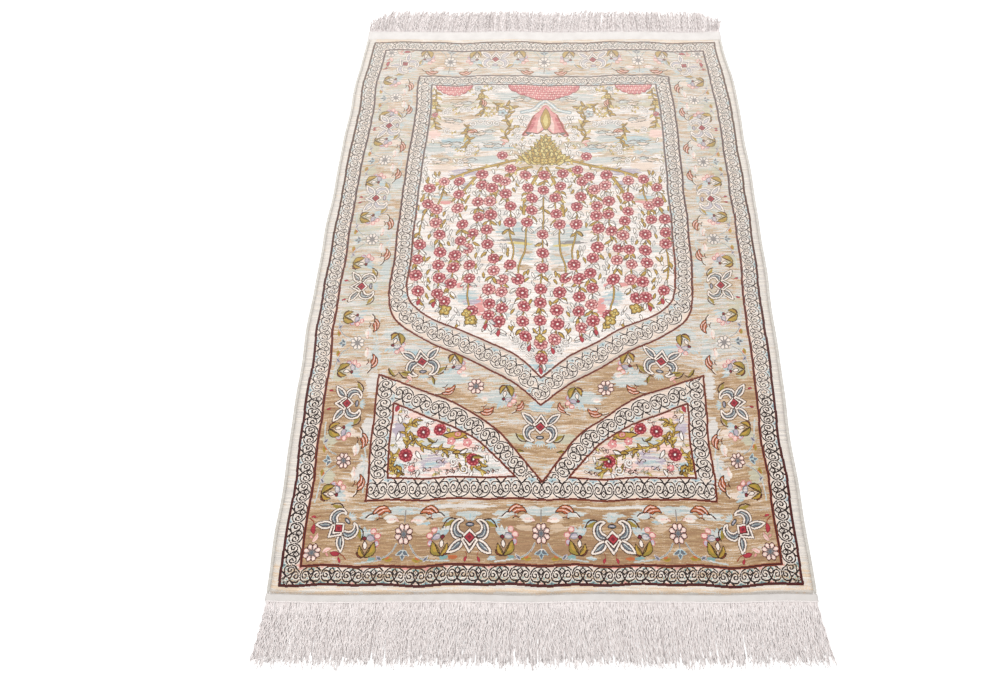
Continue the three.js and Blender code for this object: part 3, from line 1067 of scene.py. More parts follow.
PANEL_WISPS = (
    (Dye.MIST, (146, 187, 24, 6)),
    (Dye.LAVENDER, (184, 205, 9, 16), (139, 160, 19, 13)),
    (Dye.SKY, (141, 158, 10, 5)),
    (Dye.BLUSH, (132, 150, 14, 3)),
    (Dye.SKY, (184, 152, 10, 8)),
    (Dye.BLUSH, (96, 180, 18, 5)),
    (Dye.MIST, (150, 168, 8, 3), (70, 152, 18, 6)),
    (Dye.BLUSH, (112, 152, 12, 6), (166, 224, 14, 5), (162, 178, 12, 6)),
)
# Ovals of open ground among the strings: middle and half sizes.
OPENINGS = ((38, 520, 30, 16), (27, 488, 17, 30), (101, 402, 24, 18), (154, 588, 16, 13))


@dataclass
class RugChart:
    """The whole rug's chart, drawn in the order that its layers lie. Sizes are millimetres."""

    knots_per_cell: int = 6
    cells: tuple[int, int] = (160, 236)
    length: float = ClothPlan.length
    half_width: float = 320.5
    outer: Rect = Rect(310.0, 9.5, 941.0)
    border: Rect = Rect(287.5, 32.0, 920.5)
    bold_until: float = 250.0
    rosettes_sheen_from: float = 300.0
    palmettes_sheen_from: float = 550.0
    rules_sheen_from: float = 500.0
    grounds_sheen_from: float = 400.0
    near_band: float = 34.0
    side_band: float = 309.0
    panel_top: float = 245.0
    upper_niche: float = 640.0
    niche_top: float = 832.0
    strings: int = 8
    string_spacing: float = 25.6
    last_string: float = 181.0
    string_top: float = 650.0
    string_fall: float = 34.0
    string_reach: float = 182.0
    string_wall: float = 187.0
    string_foot: float = 21.0
    pendant_y: float = 745.0
    crown_y: float = 711.0
    crown_step: float = 7.6
    bloom_y: float = 666.0
    flower_pitch: float = 27.0
    small_scale: float = 0.8
    seed: int = 11

    NICHE_OUTER = ((-216, 855), (-216, 412), (-211, 384), (-197, 362), (-170, 343),
                   (-115, 314), (-59, 283), (-26, 261), (0, 239))
    NICHE_INNER = ((-192, 834), (-192, 423), (-187, 402), (-175, 387), (-152, 372),
                   (-103, 348), (-49, 319), (-22, 300), (0, 279))
    PANELS_OUTER = ((-219, 111), (-219, 284), (-181, 268), (-130, 249), (-79, 219),
                    (-53, 199), (-28, 169), (0, 134))
    PANEL_INNER = ((-195, 139), (-195, 241), (-156, 225), (-130, 214), (-105, 202),
                   (-79, 187), (-57, 165), (-34, 139))
    # For the near and the far end: Y of the palmettes and of the rosettes, and their turn.
    END_ROWS = ((64.0, 70.0, 0.0), (898.0, 892.0, 180.0))
    END_PALMETTES = (-87.0, 87.0)
    END_ROSETTES = (-167.0, 0.0, 167.0)
    # X of the side flowers, and their Y. A corner's palmette has its turn beside its Y.
    SIDE_ROSETTES = (252.0, (162.0, 332.0, 508.0, 662.0, 801.0))
    SIDE_PALMETTES = (256.5, (241.0, 425.0, 586.0, 736.0))
    CORNERS = (247.0, ((76.0, 45.0), (884.0, 135.0)))
    # How pale the tan ground is: Y, and the share there. It grows towards the far end, partly paler
    # yarn and partly painted sheen. The sides add their own.
    PALE_YARN_AND_SHEEN = ((0, 80, 108, 140, 210, 330, 949), (0.04, 0.16, 0.33, 0.36, 0.42, 0.56, 0.6))
    SIDE_PALE_YARN_AND_SHEEN = ((0, 120, 160, 250, 360, 949), (0.0, 0.0, -0.09, -0.06, 0.14, 0.14))
    # Darker patches of the ground: middle, half sizes and what they take off the paleness.
    DARKER_PATCHES = ((130, 265, 75, 50, -0.34), (-262, 185, 45, 75, -0.34), (0, 66, 330, 34, -0.09),
                (0, 66, 130, 34, -0.12))
    # The valance's three swags: middle, half width, depth and number of scallops.
    SWAGS = ((0, 62, 31, 9), (-153, 32, 20, 7), (153, 32, 20, 7))
    # The crown's rows of fronds: half width and number of fronds.
    CROWN = ((0, 1), (4, 2), (8, 3), (12, 4), (16, 5), (22, 6), (32, 8), (20, 5))

    def __post_init__(self) -> None:
        """Sets up the grid of knots, the scroll stripes and the smooth outlines."""
        columns, rows = (count * self.knots_per_cell for count in self.cells)
        self.canvas = Canvas(-self.half_width, 0.0, 2 * self.half_width / columns,
                             self.length / rows, columns, rows)
        self.guards = {lines: GuardStripe(lines.value) for lines in Lines}
        self.pen = Pen(self.canvas)
        self.niche_outer = self.both_sides(self.NICHE_OUTER)
        self.niche_inner = self.both_sides(self.NICHE_INNER)
        self.panels_outer = self.both_sides(self.PANELS_OUTER)
        right = self.sharp_start(self.PANEL_INNER)
        self.panels_inner = [right, right * (-1, 1)]

    def draw(self) -> np.ndarray:
        """Draws the chart, near row first.

        Returns:
            The number of each knot's dye.
        """
        for layer in (self.grounds, self.stripes, self.border_flowers, self.panels, self.niche,
                      self.rules, self.abrash_and_sheen):
            layer()
            self.canvas.clip = None
        return self.drift(self.canvas.dyes)

    @staticmethod
    def sharp_start(half: Path) -> Points:
        """Smooths an outline and keeps its first corner sharp."""
        return np.vstack([np.array(half[:1], float), smooth_line(half[1:], 5)])

    def both_sides(self, half: Path) -> Points:
        """Closes a half outline with its mirror image."""
        line = self.sharp_start(half)
        return np.vstack([line, line[::-1] * (-1, 1)])

    def grounds(self) -> None:
        """Lays the grounds of the bands, the niche and the panels."""
        for outline, dye in (
            (self.outer.corners(), Dye.GUARD), (self.border.corners(), Dye.TAN),
            (self.niche_outer, Dye.GUARD), (self.niche_inner, Dye.IVORY),
            (self.panels_outer, Dye.GUARD), *((line, Dye.IVORY) for line in self.panels_inner),
        ):
            self.pen.fill(outline, dye)

    def run_stripe(self, line: Points, half_width: float, weight: Lines,
                   sharp: bool = False) -> None:
        """Lays the scroll stripe along a line, its scalloped edge to the line's left.

        Args:
            line: Points of the stripe's middle line.
            half_width: Half of the stripe's width.
            weight: How bold its dark lines are.
            sharp: Whether every point is a sharp corner, with whole repeats between them.
        """
        runs = line[1:] - line[:-1]
        lengths = np.hypot(runs[:, 0], runs[:, 1])
        starts = np.concatenate([[0.0], np.cumsum(lengths)[:-1]])
        repeat = lengths.sum() / max(1, round(lengths.sum() / GuardStripe.repeat))
        canvas, reach = self.canvas, half_width * 1.5
        best = np.full(canvas.dyes.shape, np.inf, np.float32)
        for start, run, length, before in zip(line[:-1], runs, lengths, starts):
            where = canvas.window(
                np.minimum(start, start + run) - reach, np.maximum(start, start + run) + reach
            )
            x, y = canvas.x[where[1]][None, :], canvas.y[where[0]][:, None]
            way = run / length
            along = (x - start[0]) * way[0] + (y - start[1]) * way[1]
            across = (y - start[1]) * way[0] - (x - start[0]) * way[1]
            apart = np.hypot(across, np.abs(along - np.clip(along, 0, length)))
            if sharp:
                repeat, before = length / max(1, round(length / GuardStripe.repeat)), 0.0
            dyes = self.guards[weight].read(
                along + before, across * GuardStripe.half_width / half_width, repeat
            )
            nearer = (np.abs(across) <= half_width) & (apart < best[where])
            nearer &= canvas.clip[where]
            canvas.dyes[where][nearer] = dyes[nearer]
            best[where] = np.where(nearer, apart, best[where])

    def run_frame(self, curve: Points, way: int, upright: Path, level: Path,
                  halves: Sequence[float], weight: Lines) -> None:
        """Lays the stripe round a frame: curve and upright on both sides, then the level run.

        Args:
            curve: Middle line of the left curve.
            way: 1 where the curve's own left is scalloped, -1 where its right is.
            upright: Ends of the left upright's middle line.
            level: Ends of the level run's middle line.
            halves: Half widths of the curve, the uprights and the level run.
            weight: How bold the dark lines are.
        """
        for side in (1, -1):
            self.run_stripe((curve * (side, 1))[:: way * side], halves[0], weight)
            self.run_stripe((np.array(upright) * (side, 1))[::side], halves[1], weight)
        self.run_stripe(np.array(level), halves[2], weight)

    def stripes(self) -> None:
        """Lays the scroll stripes, each scalloped towards the tan ground."""
        canvas, outer, border = self.canvas, self.outer.corners(), self.border.corners()
        middle = (outer + border) / 2
        ring = np.vstack([middle, middle[:1]])
        half = (self.outer.half_width - self.border.half_width) / 2
        canvas.clip = self.mask_between(outer, [border])
        self.run_stripe(ring, half, Lines.FINE, sharp=True)
        canvas.clip &= (canvas.y < self.bold_until)[:, None]
        self.run_stripe(ring, half, Lines.BOLD, sharp=True)
        canvas.clip = self.mask_between(self.niche_outer, [self.niche_inner])
        curve = self.middle_line(self.NICHE_OUTER[1:], self.NICHE_INNER[1:])
        self.run_frame(curve, -1, ((-204, 417.5), (-204, 844.5)), ((-204, 844.5), (204, 844.5)),
                       (13.4, 12.2, 10.6), Lines.FINE)
        canvas.clip = self.mask_between(self.panels_outer, self.panels_inner)
        curve = self.middle_line(self.PANELS_OUTER[1:], self.PANEL_INNER[1:])
        curve = np.vstack([curve[:-1], [(-12, 134)]])
        self.run_frame(curve, 1, ((-207, 125), (-207, 262)), ((207, 125), (-207, 125)),
                       (13.0, 12.4, 13.4), Lines.FIRM)

    def rules(self) -> None:
        """Draws the dark double lines that bound the stripes, greyer towards the far end as painted
        sheen.
        """
        lines = (self.outer.corners(), self.border.corners(), self.niche_outer, self.niche_inner,
                 self.panels_outer, *self.panels_inner)
        # Past a ragged line the lines take grey edges: painted sheen.
        ragged = 300 * (self.streaks(2.2, 2.2, 8) - 0.5)
        far = self.canvas.y[:, None] + ragged > self.rules_sheen_from
        for number, line in enumerate(lines):
            width = 3.4 if number < 2 else 2.8
            edges = (Dye.RUST, Dye.GREY) if number else (Dye.MAROON, Dye.BROWN)
            for clip, edge in zip((None, far), edges):
                self.canvas.clip = clip
                self.pen.line(line, width, edge, closed=True)
                self.pen.line(line, width - 1.4, Dye.MAROON, closed=True)

    @staticmethod
    def middle_line(outer: Path, inner: Path) -> Points:
        """Gives the smooth line half way between two edges with as many points."""
        return smooth_line((np.array(outer, float) + np.array(inner, float)) / 2, 6)

    def mask_between(self, outer: Points, inner: Sequence[Points] = ()) -> np.ndarray:
        """Finds the knots inside one outline and outside the others.

        Args:
            outer: The outline that the knots are in.
            inner: The outlines that they are out of.

        Returns:
            A mask of the whole chart.
        """
        mask = np.zeros(self.canvas.dyes.shape, bool)
        where, found = self.canvas.inside(outer)
        mask[where] = found
        for outline in inner:
            where, found = self.canvas.inside(outline)
            mask[where] &= ~found
        return mask

    def border_flowers(self) -> None:
        """Sets the flowers of the main border and of the ground under the niche."""
        canvas = self.canvas
        canvas.clip = self.mask_between(self.border.corners(),
                                        [self.niche_outer, self.panels_outer])
        self.clouds(BORDER_WISPS)
        # The far rows and the upper sides take the paler copies: painted sheen.
        for far, (palmette_y, rosette_y, turn) in enumerate(self.END_ROWS):
            for x in self.END_ROSETTES:
                pen = Pen(canvas, x, rosette_y, turn)
                pen.draw(UNDERGROWTH)
                pen.arrange(ROSETTE_REPEAT)
                replace(pen, stretch=1.16).draw(ROSETTES[far])
            for x in self.END_PALMETTES:
                Pen(canvas, x, palmette_y, turn, 0.94).draw(PALMETTES[far])
        for side in (1, -1):
            out, levels = self.SIDE_ROSETTES
            for y in levels:
                pen = Pen(canvas, side * out, y, side * 90.0, 0.95, stretch=0.9)
                pen.draw(UNDERGROWTH)
                pen.arrange(ROSETTE_REPEAT)
                pen.draw(ROSETTES[y > self.rosettes_sheen_from])
            out, levels = self.SIDE_PALMETTES
            for y in levels:
                pen = Pen(canvas, side * out, y, side * 90.0, 0.9, stretch=0.9)
                pen.draw(PALMETTES[y > self.palmettes_sheen_from])
            out, corners = self.CORNERS
            for far, (y, turn) in enumerate(corners):
                pen = Pen(canvas, side * out, y, side * turn, 0.84)
                pen.arrange(CORNER)
                pen.draw(PALMETTES[far])
                pen.at(0, -49, -side * turn, 1.15).draw(ROSETTES[far])
            self.pen.at(side * 163, 303, side * 170, 0.92).draw(PALMETTE)
        self.pen.arrange(SADDLE)
        self.pen.at(0, 208, 180, 0.9).draw(PALMETTE)

    def vine(self, pen: Pen, points: Path, width: float, edge: int = Dye.BROWN,
             leaf_scale: float = 0.7) -> None:
        """Draws a gold vine with small leaves on alternate sides.

        Args:
            pen: The pen in whose frame the vine runs.
            points: A few points along the vine.
            width: Width of the stem.
            edge: Dye of the stem's edges.
            leaf_scale: Size of the leaves.
        """
        line = smooth_line(points, 8)
        pen.line(line, width + 1.8, edge)
        pen.line(line, width, Dye.GOLD)
        for number, count in enumerate(range(2, len(line) - 2, 3)):
            spot, run = line[count], line[count + 1] - line[count]
            heading = math.degrees(math.atan2(run[1], run[0])) - 90
            tilt = 50 if number % 2 else -50
            motif = (GOLD_LEAF, SLIM_GREEN, STRAW_LEAF)[number % 3]
            pen.at(spot[0], spot[1], heading + tilt, leaf_scale).draw(motif)

    def panels(self) -> None:
        """Fills the two lower panels with a vine, red flowers and a lavender cloud."""
        right, left = (self.mask_between(line) for line in self.panels_inner)
        self.canvas.clip = right | left
        self.clouds(PANEL_WISPS)
        for side in self.pen.sides():
            for points in PANEL_VINES:
                self.vine(side, points, 2.5)
        self.pen.arrange(PANEL)
        self.scatter_small((60, 192, 142, 236), 7.0, (FILIGREE, SLIM_WHITE, FILIGREE, TWIG), 2.4)

    def niche(self) -> None:
        """Fills the niche: valance, pendant, crown, boughs and hanging strings of flowers."""
        self.canvas.clip = self.mask_between(self.niche_inner)
        self.clouds(PALE_CLOUDS)
        self.valance()
        for side in self.pen.sides():
            for points in BOUGHS:
                self.vine(side, points, 3.6, Dye.OLIVE_DEEP)
            for points in GARLANDS:
                self.vine(side, points, 1.4, Dye.OLIVE_DEEP, 0.95)
        self.hang_strings()
        self.crown()
        self.pen.arrange(UPPER_NICHE)
        self.scatter_small((4, 190, 330, self.upper_niche), 9.0,
                           (SLIM_WHITE, SLIM_GREEN, SLIM_GREY), 2.9)
        self.scatter_small((4, 190, self.upper_niche, self.niche_top), 10.5,
                           (TWIG, STRAW_TWIG, SLIM_WHITE, CURL, STRAW_TWIG, SLIM_WHITE), 3.4)

    def clouds(self, rows: Iterable[Sequence]) -> None:
        """Lays pale wisps with ragged ends along the knot rows, mirrored left and right.

        Args:
            rows: For each dye, the dye and then its wisps: their middles and half sizes.
        """
        canvas = self.canvas
        ragged = self.streaks(16, 1.6, 21)
        for dye, *wisps in rows:
            for x, y, wide, high in wisps:
                for middle in {x: 1, -x: 1}:
                    where = canvas.window((middle - wide * 1.4, y - high * 1.4),
                                          (middle + wide * 1.4, y + high * 1.4))
                    across = (canvas.x[where[1]][None, :] - middle) / wide
                    along = (canvas.y[where[0]][:, None] - y) / high
                    canvas.paint(where, across**2 + along**2 < 0.15 + 1.3 * ragged[where], dye)

    def valance(self) -> None:
        """Draws the rose scalloped valance with its rows of beads along the niche's top."""
        hem, top, row_step, bead_step = 833, 839, 5, 3.6
        for x, wide, deep, scallops in self.SWAGS:
            share = np.linspace(0, 1, scallops * 5 + 1)
            edge = hem - deep * np.sin(np.pi * share) ** 0.6
            edge -= 2.6 * np.abs(np.sin(np.pi * share * scallops))
            outline = np.stack([x - wide + 2 * wide * share, edge], 1)
            outline = np.vstack([outline, [(x + wide, top), (x - wide, top)]])
            self.pen.fill(outline, Dye.ROSE)
            self.pen.line(outline, 1.1, Dye.CRIMSON, closed=True)
            for level in range(1, int(deep / row_step) + 1):
                half = wide * (1 - (level * row_step / (deep + 7)) ** 2) * 0.9
                for step in np.arange(-half, half, bead_step):
                    bead = Dye.BLUSH if (round(step / bead_step) + level) % 2 else Dye.PINK
                    self.pen.fill(oval(x + step, hem + 3 - level * row_step, 1.3, 1.9, 8), bead)

    def crown(self) -> None:
        """Draws the rose pendant with its gold drop, and the gold crown under it."""
        self.pen.at(0, self.pendant_y).draw(PENDANT)
        for row, (reach, count) in enumerate(self.CROWN):
            for x in np.linspace(-reach, reach, count):
                lean = 30.0 * (float(scatter(x + row, 8.0)) - 0.5)
                self.pen.at(x, self.crown_y - row * self.crown_step, lean - x * 1.5).draw(FROND)
        for x in (-12, 0, 12):
            self.pen.at(x, self.bloom_y + abs(x) * 0.2).draw(GOLD_BLOOM)

    def string_place(self, column: int, y: float) -> float:
        """Gives the distance from the middle of a string at a height.

        Args:
            column: Number of the string from the middle.
            y: The height.

        Returns:
            The distance.
        """
        base = min(column * self.string_spacing, self.last_string)
        sway = 6.2 * math.sin(y / 37.0 + column * 1.9) + 3.4 * math.sin(y / 14.0 + column)
        room = min(1.0, (self.string_wall - base) / 12.0)
        return base + (sway * room if column else 0.0)

    def hang_strings(self) -> None:
        """Hangs strings of red flowers from the boughs on both sides of the middle one."""
        inner = np.array(self.NICHE_INNER[1:], float)
        for column in range(self.strings):
            base = min(column * self.string_spacing, self.last_string)
            low = float(np.interp(-base, inner[:, 0], inner[:, 1])) + self.string_foot
            high = self.string_top - self.string_fall * (base / self.string_reach) ** 1.6
            high -= 0.0 if column else 10.0
            pitch = self.flower_pitch * (0.9 + 0.16 * float(scatter(column, 2.0)))
            for pen in self.pen.sides(column > 0):
                start = high - (pitch / 2 if column % 2 else 0.0)
                levels = np.arange(start, low, -pitch * (1.0 if column else 1.25))
                count = np.arange(len(levels)) + column * 17 + pen.flip * 5
                self.hang_string(pen, column, levels + 9.0 * (scatter(count, 7.0) - 0.5))

    def hang_string(self, pen: Pen, column: int, levels: np.ndarray) -> None:
        """Draws one string: its stem, its hanging leaves and its flower heads.

        Args:
            pen: The pen, flipped for the left half.
            column: Number of the string from the middle.
            levels: Heights of the flowers, from the top down.
        """
        stem = [(self.string_place(column, y), y) for y in (*levels, levels[-1] - 14)]
        line = smooth_line(stem, 4)
        pen.line(line, 3.0, Dye.BROWN)
        pen.line(line, 1.7, Dye.GOLD)
        knots = [(row, x, y) for row, (x, y) in enumerate(stem[:-1])
                 if not any(((x - a) / c) ** 2 + ((y - b) / d) ** 2 < 1 for a, b, c, d in OPENINGS)]
        for row, x, y in knots:
            for side, seed in ((-1, 11.0), (1, 13.0), (-1, 17.0), (1, 19.0)):
                lean = 12 + 44 * float(scatter(column * 13 + row, seed))
                drop = 5 + 11 * float(scatter(column * 7 + row, seed))
                motif = HANGING_LEAVES[int(seed + row * 3 + column) % len(HANGING_LEAVES)]
                pen.at(x + side, y - drop, side * (180 - lean) * -1, 0.95).draw(motif)
        for row, x, y in knots:
            size = 0.93 + 0.14 * float(scatter(column * 3 + row + pen.flip * 2, 9.0))
            if scatter(column * 11 + row + pen.flip * 3, 6.0) > 0.07:
                turn = 45 * float(scatter(column * 5 + row, 3.0))
                faded = scatter(column * 19 + row * 5 + pen.flip, 4.0) < 0.2
                pen.at(x, y, turn, size).draw(FADED_FLOWER if faded else RED_FLOWER)
        x, y = stem[-1]
        tip, turn = (GOLD_BLOOM, 0) if column in (4, 5) else (CRIMSON_BUD, 55)
        pen.at(x, y - 3, turn, 0.8).draw(tip)

    def scatter_small(self, box: Sequence[float], pitch: float, motifs: Sequence[Motif],
                      room: float) -> None:
        """Sets small motifs wherever the pale ground is still free, mirrored left and right.

        Args:
            box: Left, right, near and far bounds of the right half.
            pitch: Spacing of the staggered places that are tried.
            motifs: The motifs that take turns.
            room: Radius that has to be free.
        """
        ground = (self.canvas.dyes == Dye.IVORY) & self.canvas.clip
        places = [(x, y) for row, y in enumerate(np.arange(box[2], box[3], pitch * 0.8))
                  for x in np.arange(box[0] + (row % 2) * pitch / 2, box[1], pitch)]
        for count, (x, y) in enumerate(places, 1):
            x, y = x + (scatter(count, 1.3) - 0.5) * 4, y + (scatter(count, 2.7) - 0.5) * 4
            if ground[self.canvas.window((x - room, y - room), (x + room, y + room))].all():
                turn = 180 + 70 * float(scatter(count, 3.9) - 0.5)
                motif = motifs[int(scatter(count, 5.1) * len(motifs))]
                self.pen.arrange(((motif, (x, y + 4, turn, self.small_scale)),))

    def streaks(self, along: float, rows: float, seed: int) -> np.ndarray:
        """Makes a field of streaks along the knot rows, from 0 to 1.

        Args:
            along: Length of a streak, in millimetres.
            rows: Depth of a streak, in millimetres.
            seed: Sets one field apart from another.

        Returns:
            One value for each knot.
        """
        canvas = self.canvas
        wide = int(2 * self.half_width / along) + 3
        high = int(canvas.rows * canvas.pitch_y / rows) + 3
        coarse = np.random.default_rng(self.seed + seed).random((high, wide))
        place_x = (canvas.x + self.half_width) / along
        place_y = canvas.y / rows
        across = np.stack([np.interp(place_x, np.arange(wide), row) for row in coarse])
        low = np.floor(place_y).astype(int)
        share = smoothstep(place_y - low, 0, 1)[:, None]
        return across[low] * (1 - share) + across[low + 1] * share

    def drift(self, dyes: np.ndarray) -> np.ndarray:
        """Lets the rows and columns wander a little, as hand-beaten wefts do.

        Args:
            dyes: The chart as drawn.

        Returns:
            The chart as woven.
        """
        canvas = self.canvas
        rise = 1.1 * np.sin(canvas.x / 29.0) + 0.8 * np.sin(canvas.x / 12.0 + 1.3)
        slip = 0.7 * np.sin(canvas.y / 33.0 + 0.8) + 0.4 * np.sin(canvas.y / 13.0)
        rows = np.arange(canvas.rows)[:, None] + np.rint(rise / canvas.pitch_y).astype(int)
        columns = np.arange(canvas.columns) + np.rint(slip / canvas.pitch_x).astype(int)[:, None]
        return dyes[np.clip(rows, 0, canvas.rows - 1), np.clip(columns, 0, canvas.columns - 1)]

    def redye(self, where: np.ndarray, value: np.ndarray,
              rows: Iterable[tuple[float, float, Dye]]) -> None:
        """Dyes the knots of a mask where a field lies between two values.

        Args:
            where: Mask of the knots that may change.
            value: The field.
            rows: For each dye, the values it lies between and the dye.
        """
        for low, high, dye in rows:
            self.canvas.dyes[where & (value > low) & (value < high)] = dye

    def exchange(self, where: np.ndarray | bool, value: np.ndarray,
                 rows: Iterable[tuple[Dye, Dye, float]]) -> None:
        """Exchanges dyes for others where a field is high.

        Args:
            where: Mask of the knots that may change.
            value: The field.
            rows: For each exchange, the old dye, the new dye and the level it starts at.
        """
        for ground, other, level in rows:
            self.redye(where & (self.canvas.dyes == ground), value, ((level, 9, other),))

    def abrash_and_sheen(self) -> None:
        """Breaks the plain grounds into the streaks of differently dyed yarn, with darker patches,
        and makes the far half paler and greyer: partly paler yarn, partly painted sheen.
        """
        dyes, x, y = self.canvas.dyes, self.canvas.x[None, :], self.canvas.y[:, None]
        speck = np.random.default_rng(self.seed + 9).random(dyes.shape)
        fine = self.streaks(9, 0.8, 3)
        broad = self.streaks(70, 18, 1) * 0.5 + self.streaks(30, 3.2, 2) * 0.5
        warm = self.streaks(26, 1.8, 4) * 0.5 + fine * 0.3 + speck * 0.2
        pale_yarn_and_sheen = np.interp(y, *self.PALE_YARN_AND_SHEEN)
        pale_yarn_and_sheen = pale_yarn_and_sheen + smoothstep(np.abs(x), 205, 235) * np.interp(y, *self.SIDE_PALE_YARN_AND_SHEEN)
        for middle_x, middle_y, wide, high, amount in self.DARKER_PATCHES:
            reach = ((x - middle_x) / wide) ** 2 + ((y - middle_y) / high) ** 2
            pale_yarn_and_sheen = pale_yarn_and_sheen + amount * np.exp(-reach)
        pale = pale_yarn_and_sheen + (broad - 0.5) * 0.85 + (fine - 0.5) * 0.85 + (speck - 0.5) * 0.3
        # Past a ragged line in the far half, stripes and motifs take paler, greyer dyes: painted
        # sheen.
        self.exchange(y + 200 * (fine - 0.5) > self.grounds_sheen_from, warm, (
            (Dye.GUARD, Dye.IVORY_SHADE, 0.4), (Dye.TAN_PALE, Dye.LAVENDER, 0.56),
            (Dye.SLATE, Dye.GREY, 0.4), (Dye.BROWN, Dye.OLIVE_DEEP, 0.5),
            (Dye.OLIVE, Dye.GOLD, 0.45), (Dye.CREAM, Dye.IVORY_SHADE, 0.62),
        ))
        tan = dyes == Dye.TAN
        self.redye(tan, pale, ((-9, 0.04, Dye.TAN_DEEP), (0.34, 9, Dye.TAN_PALE)))
        self.redye(tan & (pale > 0.62), warm, (
            (-9, 0.44, Dye.SAGE), (0.44, 0.54, Dye.MIST), (0.54, 9, Dye.IVORY_SHADE)))
        self.redye((dyes == Dye.IVORY) & (y > self.upper_niche), broad + (fine - 0.5) * 0.3, (
            (0.0, 0.22, Dye.MIST), (0.34, 0.4, Dye.IVORY_SHADE), (0.57, 0.68, Dye.TAN_PALE),
            (0.68, 0.82, Dye.SAGE)))
        near = y < self.near_band
        self.exchange(near, warm, (
            (Dye.CREAM, Dye.TAN_PALE, 0.56), (Dye.SKY, Dye.TEAL, 0.34),
            (Dye.IVORY_BLUSH, Dye.PINK, 0.56), (Dye.GUARD, Dye.TEAL, 0.4)))
        # The side bands are paler and greyer than the near end: partly yarn colour, partly painted
        # sheen.
        self.redye((dyes == Dye.BAND) & (np.abs(x) > self.side_band) & ~near, warm, (
            (0.2, 9, Dye.BAND_PALE), (0.54, 9, Dye.IVORY_SHADE)))
        panel = (dyes == Dye.IVORY) & (y < self.panel_top)
        self.redye(panel, warm, (
            (-9, 0.46, Dye.MIST), (-9, 0.42, Dye.IVORY_SHADE), (0.65, 9, Dye.BLUSH)))
        self.redye(panel & (x > 0) & (dyes != Dye.BLUSH), fine, (
            (0.4, 9, Dye.IVORY_BLUSH), (0.58, 9, Dye.TAN_PALE)))
        self.redye(dyes == Dye.IVORY, warm, (
            (-9, 0.40, Dye.IVORY_SHADE), (0.62, 9, Dye.IVORY_BLUSH)))
        self.exchange(True, warm, (
            (Dye.BAND, Dye.BAND_PALE, 0.5), (Dye.SKY, Dye.MIST, 0.5), (Dye.ROSE, Dye.PINK, 0.6),
            (Dye.LAVENDER, Dye.MIST, 0.6), (Dye.MIST, Dye.IVORY_SHADE, 0.6)))


def add_node(tree: Tree, kind: str, inputs: dict | None = None, **settings: object) -> Node:
    """Adds a node with its settings and links.

    Args:
        tree: The node tree.
        kind: The node's type name, after the ShaderNode that all of them start with.
        inputs: For each input name or number, a value, a socket, or a node whose first output
            is linked.
        **settings: Attributes to set on the node.

    Returns:
        The node.
    """
    node = tree.nodes.new(f"ShaderNode{kind}")
    for name, value in settings.items():
        setattr(node, name, value)
    for name, value in (inputs or {}).items():
        source = value.outputs[0] if isinstance(value, Node) else value
        if isinstance(source, Socket):
            tree.links.new(source, node.inputs[name])
        else:
            node.inputs[name].default_value = source
    return node


def new_material(name: str, constants: dict[str, object]) -> tuple[bpy.types.Material, Tree, Node]:
    """Makes a material with one Principled shader.

    Args:
        name: The material's name.
        constants: Values that stay on the shader's own sockets.

    Returns:
        The material, its node tree and its shader.
    """
    material = bpy.data.materials.new(name)
    material.use_nodes = True
    shader = material.node_tree.nodes["Principled BSDF"]
    for socket, value in constants.items():
        shader.inputs[socket].default_value = value
    return material, material.node_tree, shader


